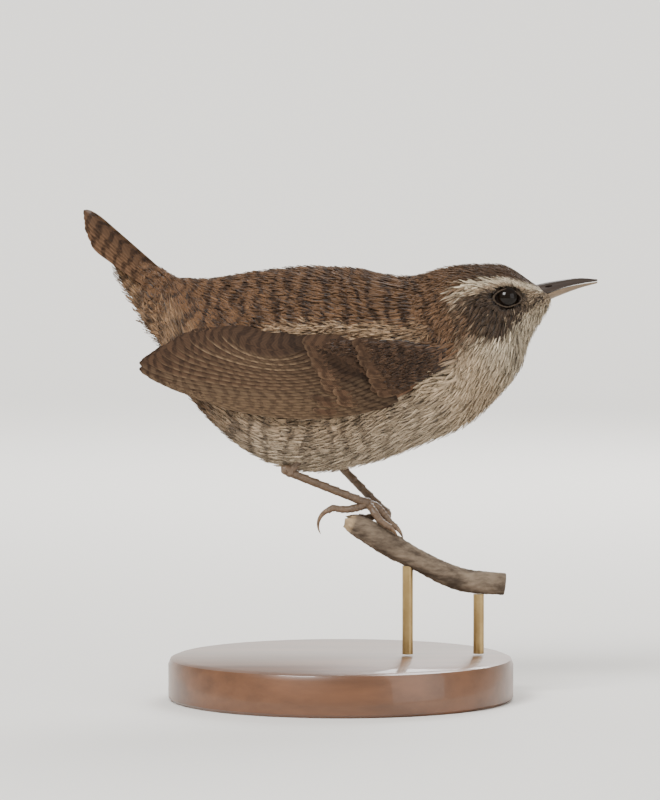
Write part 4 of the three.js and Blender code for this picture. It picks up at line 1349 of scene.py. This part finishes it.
SEEDS = {
    "skin": 3,
    "under": 40,
    "locks": 41,
    "wing": 70,
    "tail": 90,
    "covert_under": 91,
    "covert_locks": 92,
}


class WREN_OT_skin(bpy.types.Operator):
    """The smooth skin under the plumage, in one piece from the tail's root to the bill"""

    bl_idname = "wren.skin"
    bl_label = "Skin"

    def execute(self, context):
        def place(around, along):
            return TRUNK.at(along, around * 2 * math.pi, -COAT_DEPTH)

        mesh = mesh_of(swept(96, 120, place), "skin")
        places = places_of(mesh)
        share, turn = skin_places(places)
        tint, bars = body_colours(places, share, turn, np.random.default_rng(SEEDS["skin"]))
        corners = np.empty(len(mesh.loops), dtype=np.int32)
        mesh.loops.foreach_get("vertex_index", corners)
        uv = np.stack([turn / (2 * math.pi) % 1.0, share], axis=1)
        marks = np.stack([body_wave(share, turn), bars, np.full(len(bars), 0.5)], axis=1)
        # The skin takes the plumage's tints darkened to 0.6: painted shade for the skin seen deep between the
        # feathers.
        painted(mesh, corners, (uv, uv), tint * 0.6, marks)
        finished("skin", mesh, plumage_material(context), "plumage", ("torso", "neck", "head"))
        return {"FINISHED"}


class WREN_OT_plumage(bpy.types.Operator):
    """Small feathers in overlapping rows over the body, finest on the face"""

    bl_idname = "wren.plumage"
    bl_label = "Plumage"

    def execute(self, context):
        body = context.scene.wren_plumage.body_spacing
        face = context.scene.wren_plumage.face_spacing
        material = plumage_material(context)
        stops = (0, 0.1, 0.5, 0.62, 0.74, 1.0)
        sizes_at = (0, 0.1, 0.5, 0.64, 0.78, 0.92, 1.0)
        under_gaps = (1.3, body, body, 1.15, face * 1.5, face)
        lock_gaps = (1.4, body * 1.1, body * 1.1, 1.25, face * 1.35, face * 1.05)

        def under_spacing(share):
            return float(np.interp(share, stops, under_gaps))

        def lock_spacing(share):
            return float(np.interp(share, stops, lock_gaps))

        def long(share):
            return np.interp(share, sizes_at, (4.6, 4.8, 4.3, 3.2, 2.1, 1.5, 1.1))

        def wide(share):
            return np.interp(share, sizes_at, (2.3, 2.4, 2.2, 1.6, 1.0, 0.7, 0.55))

        def lock_wide(share):
            return 0.27 * wide(share) + 0.06

        # The last number is the most feathers that one piece holds.
        trunk_tufts(
            "plumage_under", BROAD, under_spacing, long, wide, 1, 0.12,
            material, SEEDS["under"], 5200)
        trunk_tufts(
            "plumage_locks", LOCK, lock_spacing, long, lock_wide, 4, 0.5,
            material, SEEDS["locks"], 6800)
        return {"FINISHED"}


class WREN_OT_wings(bpy.types.Operator):
    """The folded wings: flight feathers and their coverts"""

    bl_idname = "wren.wings"
    bl_label = "Wings"

    def execute(self, context):
        material = feather_material("Wing vanes", 0.46, 130.0, 0.7, 0.03)
        small = plumage_material(context)
        for number, (name, side) in enumerate(SIDES):
            rng = np.random.default_rng(SEEDS["wing"] + number)
            arrays = spread_bake(stacked([wing_feathers(side, rng)] + covert_feathers(side, rng)))
            mesh = vanes_mesh(f"wing_{name}_feathers", *arrays)
            finished(f"wing_{name}_feathers", mesh, material, "wing_feathers", (f"wing_{name}",))
            core = mesh_of(wing_core(side), f"wing_{name}_core")
            finished(f"wing_{name}_core", core, under_material(), "wing_feathers")
            for label, patch in SIDE_PATCHES.items():
                side_tufts(label.format(name), side, number, patch, small)
        return {"FINISHED"}


class WREN_OT_tail(bpy.types.Operator):
    """The cocked tail and the coverts at its root"""

    bl_idname = "wren.tail"
    bl_label = "Tail"

    def execute(self, context):
        material = feather_material("Tail vanes", 0.42, 90.0, 0.5, 0.03)
        arrays = spread_bake(tail_feather_arrays(np.random.default_rng(SEEDS["tail"])), 4)
        finished("tail_vanes", vanes_mesh("tail_vanes", *arrays), material, "tail_feathers", ("tail",))
        small = plumage_material(context)
        covert_tufts("tail_coverts_under", BROAD, 1.15, 1, 3.2, 1.8, 0.25, small, SEEDS["covert_under"])
        covert_tufts("tail_coverts_locks", LOCK, 1.2, 4, 3.6, 0.42, 0.9, small, SEEDS["covert_locks"])

        def place(around, along):
            return TAIL_COVERTS.at(along, around * 2 * math.pi, -0.7)

        core = mesh_of(swept(40, 24, place), "tail_core")
        finished("tail_core", core, under_material(), "tail_feathers")
        return {"FINISHED"}


def mandible(round_line, sign):
    """One half of the bill, with its flat side at the mouth. sign is 1 for the upper half."""

    def place(around, along):
        x = BILL["root"] + (BILL["tip"] - BILL["root"]) * along
        flat = through(BILL["mouth"], along) + sign * 0.06
        outer = through(BILL[round_line], along)
        outer = np.where(sign * (outer - flat) < 0.1, flat + sign * 0.1, outer)
        half = through(BILL["half"], along)
        arch = around < 0.75
        turn = np.where(arch, around / 0.75, (1 - around) / 0.25) * math.pi
        rise = np.where(arch, np.sin(turn) ** 0.85, 0.0)
        return np.stack([x, -half * np.cos(turn), flat + (outer - flat) * rise], axis=1)

    return swept(48, 60, place)


class WREN_OT_bill(bpy.types.Operator):
    """The two mandibles, with the nostrils"""

    bl_idname = "wren.bill"
    bl_label = "Bill"

    def execute(self, context):
        finish = context.scene.wren_finish
        for name, round_line, sign, colour in (
            ("upper", "culmen", 1, tuple(finish.upper_bill)),
            ("lower", "keel", -1, tuple(finish.lower_bill)),
        ):
            colours = (tuple(value * 0.7 for value in colour), colour)
            label = f"{name.title()} bill horn"
            material = mottled_material(label, colours, 700, 0.36, 0.00002, (0.3, 1, 1))
            mesh = mesh_of(mandible(round_line, sign), f"bill_{name}_horn")
            finished(f"bill_{name}_horn", mesh, material, "bill", (f"bill_{name}",))
        # Painted shade: each nostril is a near-black flattened ball that stands for the shade inside the
        # nostril opening.
        colours = ((0.008, 0.005, 0.004), (0.016, 0.010, 0.007))
        dark = mottled_material("Nostril painted shade", colours, 2000, 0.9, Specular_IOR_Level=0.05)
        for name, side in SIDES:
            bm = bmesh.new()
            bmesh.ops.create_uvsphere(bm, u_segments=20, v_segments=12, radius=MM)
            bmesh.ops.scale(bm, verts=bm.verts, vec=(0.72, 0.14, 0.2))
            tilt = Matrix.Rotation(math.radians(-12), 3, "Y")
            bmesh.ops.rotate(bm, verts=bm.verts, cent=(0, 0, 0), matrix=tilt)
            place = Vector((NOSTRIL[0], side * 1.36, NOSTRIL[1])) * MM
            bmesh.ops.translate(bm, verts=bm.verts, vec=place)
            finished(f"nostril_{name}", mesh_of(bm, f"nostril_{name}"), dark, "bill")
        return {"FINISHED"}


def lid_line(turn):
    """The outline of the opening between the lids, in the side view, from the eye's middle."""
    forward = np.maximum(0, np.cos(turn)) ** 3
    backward = np.maximum(0, -np.cos(turn)) ** 4
    x = np.cos(turn) * (LID["long"] + 0.45 * forward + 0.15 * backward)
    z = np.sin(turn) * LID["tall"] * (1 - 0.12 * np.abs(np.cos(turn)))
    return x, z - LID["corner_drop"] * forward


def eyelid(side):
    """The beaded rim of the lids."""

    def place(around, along):
        turn = along * 2 * math.pi
        tube = around * 2 * math.pi
        x, z = lid_line(turn)
        swell = 1 + 0.075 * np.cos(tube)
        x = EYE["x"] + x * swell
        z = EYE["z"] + z * swell
        beads = 0.05 * np.sin(turn * 26) * np.maximum(0, np.cos(tube))
        out = trunk_reach(x, z) + 0.05 + (LID["thick"] + beads) * np.sin(tube)
        return np.stack([x, side * out, z], axis=1)

    return swept(12, 120, place, closed_ends=False)


def eye_shade_sheet(side):
    """A near-black sheet inside the lids, behind the eye's edge: painted shade in the hollow between the lids
    and the eyeball.
    """

    def place(around, along):
        x, z = lid_line(around * 2 * math.pi)
        inward = np.clip(along, 0, 1)
        x = EYE["x"] + x * inward
        z = EYE["z"] + z * inward
        hollow = 0.25 + 0.45 * (1 - inward**2)
        return np.stack([x, side * (trunk_reach(x, z) - hollow), z], axis=1)

    return swept(48, 12, place, closed_ends=False)


class WREN_OT_eyes(bpy.types.Operator):
    """The eyes, set deep in lids"""

    bl_idname = "wren.eyes"
    bl_label = "Eyes"

    def execute(self, context):
        iris, tree = new_material("Eye")
        if tree:
            shader = tree.nodes["Principled BSDF"]
            set_inputs(shader, Base_Color=(0.006, 0.0035, 0.002, 1), Roughness=0.06, Specular_IOR_Level=0.2)
        colours = ((0.022, 0.015, 0.010), (0.06, 0.043, 0.029))
        rim = mottled_material("Eyelid", colours, 3000, 0.8, 0.00002, Specular_IOR_Level=0.15)
        # Painted shade: the near-black sheet inside the lids stands for the shade between the lids and the
        # eyeball.
        colours = ((0.006, 0.004, 0.003), (0.012, 0.008, 0.006))
        dark = mottled_material("Eye painted shade", colours, 2000, 0.9, Specular_IOR_Level=0.05)
        for name, side in SIDES:
            ball = knob((EYE["x"], side * EYE["depth"], EYE["z"]), EYE["radius"], 40, 24)
            finished(f"eyeball_{name}", mesh_of(ball, f"eyeball_{name}"), iris, "eye", (f"eye_{name}",))
            lid = mesh_of(eyelid(side), f"eyelid_{name}")
            finished(f"eyelid_{name}", lid, rim, "plumage")
            corner = mesh_of(eye_shade_sheet(side), f"eye_shade_sheet_{name}")
            finished(f"eye_shade_sheet_{name}", corner, dark, "plumage")
        return {"FINISHED"}


def thigh_thickness(v, turn):
    return 1.25 - 0.5 * v


def tarsus_thickness(v, turn):
    return TARSUS_RADIUS + 0.2 * np.abs(2 * v - 1) ** 6


def toe_thickness(v, turn):
    knuckles = 0.05 * np.cos(v * 4 * 2 * math.pi)
    return TOE_RADIUS + (TOE_TIP_RADIUS - TOE_RADIUS) * v - knuckles * (np.sin(turn) < 0) * 0.8


class WREN_OT_legs(bpy.types.Operator):
    """The legs, feet and claws, with their scutes"""

    bl_idname = "wren.legs"
    bl_label = "Legs and feet"

    def execute(self, context):
        colour = tuple(context.scene.wren_finish.leg)
        darker = tuple(value * 0.62 for value in colour)
        hide = mottled_material("Leg scutes", (darker, colour), 1300, 0.48, 0.00004)
        horn = mottled_material("Claw horn", ((0.10, 0.06, 0.035), (0.22, 0.14, 0.085)), 900, 0.35)
        for leg in LEGS:
            name = leg["name"]
            thigh, heel, joint = (np.array(leg[key]) for key in ("thigh", "heel", "joint"))
            shank = evenly(np.array([thigh, heel]), 40)
            stops = np.array([heel + (thigh - heel) * 0.06, heel, joint])
            bend = evenly(through(stops, np.linspace(0, 1, 120)), 120)
            shapes = [
                rings_about(shank, thigh_thickness, 16, 12),
                rings_about(bend, tarsus_thickness, 20, 150, 1.15, scutes(9, 0.15, 1)),
                knob(heel, 0.9),
            ]
            finished(f"leg_{name}_scuted", joined("leg", shapes), hide, "leg", (f"leg_{name}",))
            toes = [knob(joint, 0.92)]
            for toe_name, (stops, claw_long, hook) in leg["toes"].items():
                line = toe_line(leg, stops)
                toes.append(rings_about(line, toe_thickness, 16, 110, 1.0, scutes(9, 0.12, 1)))
                claw = mesh_of(claw_shape(line, claw_long, hook), "claw")
                node_name = f"claw_{name}_{toe_name}"
                finished(f"{node_name}_horn", claw, horn, "claw", (node_name,))
            finished(f"foot_{name}_scuted", joined("foot", toes), hide, "leg", (f"foot_{name}",))
        return {"FINISHED"}


def knob(place, radius, columns=20, rows=12):
    """A ball round a place."""
    bm = bmesh.new()
    bmesh.ops.create_uvsphere(bm, u_segments=columns, v_segments=rows, radius=radius * MM)
    bmesh.ops.translate(bm, verts=bm.verts, vec=Vector(place) * MM)
    return bm


def claw_shape(line, long, hook_degrees):
    """A claw that leaves the toe's end along the toe and hooks down towards the twig."""
    start = line[-1]
    along = line[-1] - line[-4]
    along /= np.linalg.norm(along)
    middle = twig_frame(twig_share(start) * TWIG_LONG)[0]
    away = start - middle
    down = -(away - along * away.dot(along))
    down /= np.linalg.norm(down)
    hook = math.radians(hook_degrees)
    bend = long / hook
    across = np.cross(down, along)

    def place(around, v):
        turn = v * hook
        round_turn = around * 2 * math.pi
        middle = start + np.outer(bend * np.sin(turn) - 0.1 * (1 - v), along)
        middle = middle + np.outer(bend * (1 - np.cos(turn)), down)
        heading = np.outer(np.cos(turn), along) + np.outer(np.sin(turn), down)
        over = np.cross(heading, across)
        radius = CLAW_RADIUS * (1 - v) ** 0.8 + 0.035
        return (middle + across * (radius * 0.8 * np.cos(round_turn))[:, None]
                + over * (radius * 1.15 * np.sin(round_turn))[:, None])

    return swept(14, 24, place)


def knot(distance, turn, at, broad, tall, facing):
    """The swelling of a knot on one side of the twig."""
    return tall * np.exp(-((distance - at) / broad) ** 2) * np.maximum(0, np.cos(turn - facing)) ** 2


def bark_place(around, along):
    """Places on the twig's bark, with its ridges, knots and torn end."""
    distance = along * TWIG_LONG
    turn = around * 2 * math.pi
    wander = np.sin(turn * 9 + 3 * np.sin(distance * 0.8))
    ridges = 0.06 * wander * np.sin(distance * 1.3 + 2 * np.sin(turn * 2))
    rings = 0.05 * np.sin(distance * 2.1 + np.sin(turn * 3)) ** 6
    splinter = 0.5 + 0.5 * np.sin(turn * 5 + 1.0) * np.sin(turn * 2 + 0.4)
    torn = smooth_step(2.2, 0.0, distance) * splinter
    knots = knot(distance, turn, 10.5, 0.9, 0.22, 0.8) + knot(distance, turn, 21.0, 0.8, 0.18, -1.1)
    return on_twig(distance + torn * 1.9, np.degrees(turn), ridges + rings + knots - 0.03 - torn * 0.35)


class WREN_OT_twig(bpy.types.Operator):
    """The twig, with its bark and torn end"""

    bl_idname = "wren.twig"
    bl_label = "Twig"

    def execute(self, context):
        colours = ((0.050, 0.036, 0.026), (0.21, 0.16, 0.115))
        bark = mottled_material("Bark", colours, 520, 0.9, 0.00045, (0.3, 1, 1), Specular_IOR_Level=0.15)
        mesh = mesh_of(swept(72, 220, bark_place), "twig_bark")
        gap = np.linalg.norm(places_of(mesh)[:, None] - TWIG_LINE[None, ::4], axis=2)
        torn = mesh.attributes.new("torn", "FLOAT", "POINT")
        inner = smooth_step(2.3, 1.2, gap.argmin(axis=1) * 4 / len(TWIG_LINE) * TWIG_LONG)
        sawn = (gap.argmin(axis=1) > gap.shape[1] - 2) * smooth_step(1.9, 1.7, gap.min(axis=1))
        torn.data.foreach_set("value", np.maximum(inner, sawn).astype(np.float32))
        tree = bark.node_tree
        if "Torn" not in tree.nodes:
            reader = node(tree, "ShaderNodeAttribute", (-500, 300), attribute_name="torn", name="Torn")
            socket = tree.nodes["Principled BSDF"].inputs["Base Color"]
            skin = socket.links[0].from_socket
            tree.links.new(mixed(tree, reader.outputs["Fac"], skin, PALE_WOOD), socket)
        finished("twig_bark", mesh, bark, "bark", ("perch",))
        return {"FINISHED"}


BASE_PROFILE = ((0, 0), (31.4, 0), (32, 0.6), (32, 6.6), (31.6, 7.6), (30.6, 8), (0, 8))
PIN_RADIUS = 0.001


class WREN_OT_stand(bpy.types.Operator):
    """The round base and the two pins"""

    bl_idname = "wren.stand"
    bl_label = "Stand"

    def execute(self, context):
        wood = tuple(context.scene.wren_finish.wood)
        paler = tuple(value * 1.9 for value in wood)
        grain = mottled_material(
            "Base wood", (wood, paler), 160, 0.36, 0.00002, (0.12, 1, 1), Coat_Weight=0.3)
        bm = turned([(radius * MM, height * MM) for radius, height in BASE_PROFILE], 128)
        base = finished("base_wood", mesh_of(bm, "base_wood"), grain, "stand_wood", ("stand_base",))
        soften(base)
        colours = ((0.34, 0.23, 0.10), (0.44, 0.31, 0.14))
        brass = mottled_material("Pin metal", colours, 300, 0.34, Metallic=1.0)
        for name in ("front", "rear"):
            low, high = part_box(f"stand_pin_{name}")
            bm = bmesh.new()
            bmesh.ops.create_cone(
                bm, cap_ends=True, segments=32, radius1=PIN_RADIUS, radius2=PIN_RADIUS,
                depth=high[2] - low[2])
            bmesh.ops.translate(bm, verts=bm.verts, vec=(Vector(low) + Vector(high)) / 2)
            pin = mesh_of(bm, f"pin_{name}")
            soften(finished(f"pin_{name}_metal", pin, brass, "stand_metal", (f"stand_pin_{name}",)))
        return {"FINISHED"}


def soften(piece):
    """Crisp edges on turned pieces."""
    bm = bmesh.new()
    bm.from_mesh(piece.data)
    for edge in bm.edges:
        edge.smooth = edge.calc_face_angle(0) < math.radians(32)
    bm.to_mesh(piece.data)
    bm.free()


# The part of the scene that the camera takes in, from bottom to top, in metres
VIEW_HEIGHT = 0.148
SENSOR_HEIGHT = 24.0
AIM = Vector((-2.0, 0.0, 55.5)) * MM


class WREN_OT_stage(bpy.types.Operator):
    """A pale floor and backdrop, soft lights and the camera"""

    bl_idname = "wren.stage"
    bl_label = "Stage"

    def execute(self, context):
        stage = context.scene.wren_stage
        pale, tree = new_material("Backdrop")
        if tree:
            set_inputs(tree.nodes["Principled BSDF"], Base_Color=(0.80, 0.78, 0.74, 1), Roughness=0.9)
        # The floor curves up all round, so that no horizon shows from any side.
        curve = [(radius, 0.35 * (radius - 1) ** 2) for radius in np.linspace(1.0, 2.6, 30)]
        bm = turned([(0.0, 0.0)] + curve, 96)
        bmesh.ops.reverse_faces(bm, faces=bm.faces)
        floor = bpy.data.objects.new("floor", mesh_of(bm, "floor"))
        floor.data.shade_smooth()
        floor.data.materials.append(pale)
        context.scene.collection.objects.link(floor)
        world = bpy.data.worlds.new("Studio")
        world.use_nodes = True
        set_inputs(world.node_tree.nodes["Background"], Color=(0.90, 0.89, 0.86, 1), Strength=0.6)
        context.scene.world = world
        for name, place, size, power in (
            ("key", (-0.35, -0.55, 0.62), 0.35, stage.key_power),
            ("fill", (0.65, -0.5, 0.3), 0.6, stage.key_power * 0.22),
            ("rim", (0.2, 0.6, 0.5), 0.4, stage.key_power * 0.5),
            ("wash", (0.0, 1.0, 1.3), 1.4, stage.key_power * 3.2),
        ):
            light = bpy.data.lights.new(name, "AREA")
            light.size = size
            light.energy = power
            lamp = bpy.data.objects.new(name, light)
            lamp.location = place
            aim = Vector((0, 2.2, 0.2)) if name == "wash" else AIM
            lamp.rotation_euler = (aim - Vector(place)).to_track_quat("-Z", "Y").to_euler()
            context.scene.collection.objects.link(lamp)
        lens = bpy.data.cameras.new("camera")
        lens.sensor_fit = "VERTICAL"
        lens.sensor_height = SENSOR_HEIGHT
        lens.lens = SENSOR_HEIGHT * stage.distance / VIEW_HEIGHT
        lens.clip_start = 0.01
        camera = bpy.data.objects.new("camera", lens)
        away = Vector((0, -math.cos(stage.elevation), math.sin(stage.elevation))) * stage.distance
        camera.location = AIM + away
        camera.rotation_euler = (-away).to_track_quat("-Z", "Y").to_euler()
        context.scene.collection.objects.link(camera)
        context.scene.camera = camera
        return {"FINISHED"}


class WREN_PT_panel(bpy.types.Panel):
    bl_label = "Wren"
    bl_idname = "WREN_PT_panel"
    bl_space_type = "VIEW_3D"
    bl_region_type = "UI"
    bl_category = "Wren"

    def draw(self, context):
        for settings in (context.scene.wren_plumage, context.scene.wren_finish, context.scene.wren_stage):
            for name in settings.bl_rna.properties.keys():
                if name not in ("rna_type", "name"):
                    self.layout.prop(settings, name)
        for operator in OPERATORS:
            self.layout.operator(operator.bl_idname)


OPERATORS = (
    WREN_OT_skin, WREN_OT_plumage, WREN_OT_wings, WREN_OT_tail, WREN_OT_bill,
    WREN_OT_eyes, WREN_OT_legs, WREN_OT_twig, WREN_OT_stand, WREN_OT_stage,
)
CLASSES = (PlumageSettings, FinishSettings, StageSettings, *OPERATORS, WREN_PT_panel)


def register():
    for cls in CLASSES:
        bpy.utils.register_class(cls)
    bpy.types.Scene.wren_plumage = bpy.props.PointerProperty(type=PlumageSettings)
    bpy.types.Scene.wren_finish = bpy.props.PointerProperty(type=FinishSettings)
    bpy.types.Scene.wren_stage = bpy.props.PointerProperty(type=StageSettings)


def unregister():
    del bpy.types.Scene.wren_stage
    del bpy.types.Scene.wren_finish
    del bpy.types.Scene.wren_plumage
    for cls in reversed(CLASSES):
        bpy.utils.unregister_class(cls)


def main():
    register()
    for operator in OPERATORS:
        group, name = operator.bl_idname.split(".")
        getattr(getattr(bpy.ops, group), name)()


if __name__ == "__main__":
    main()
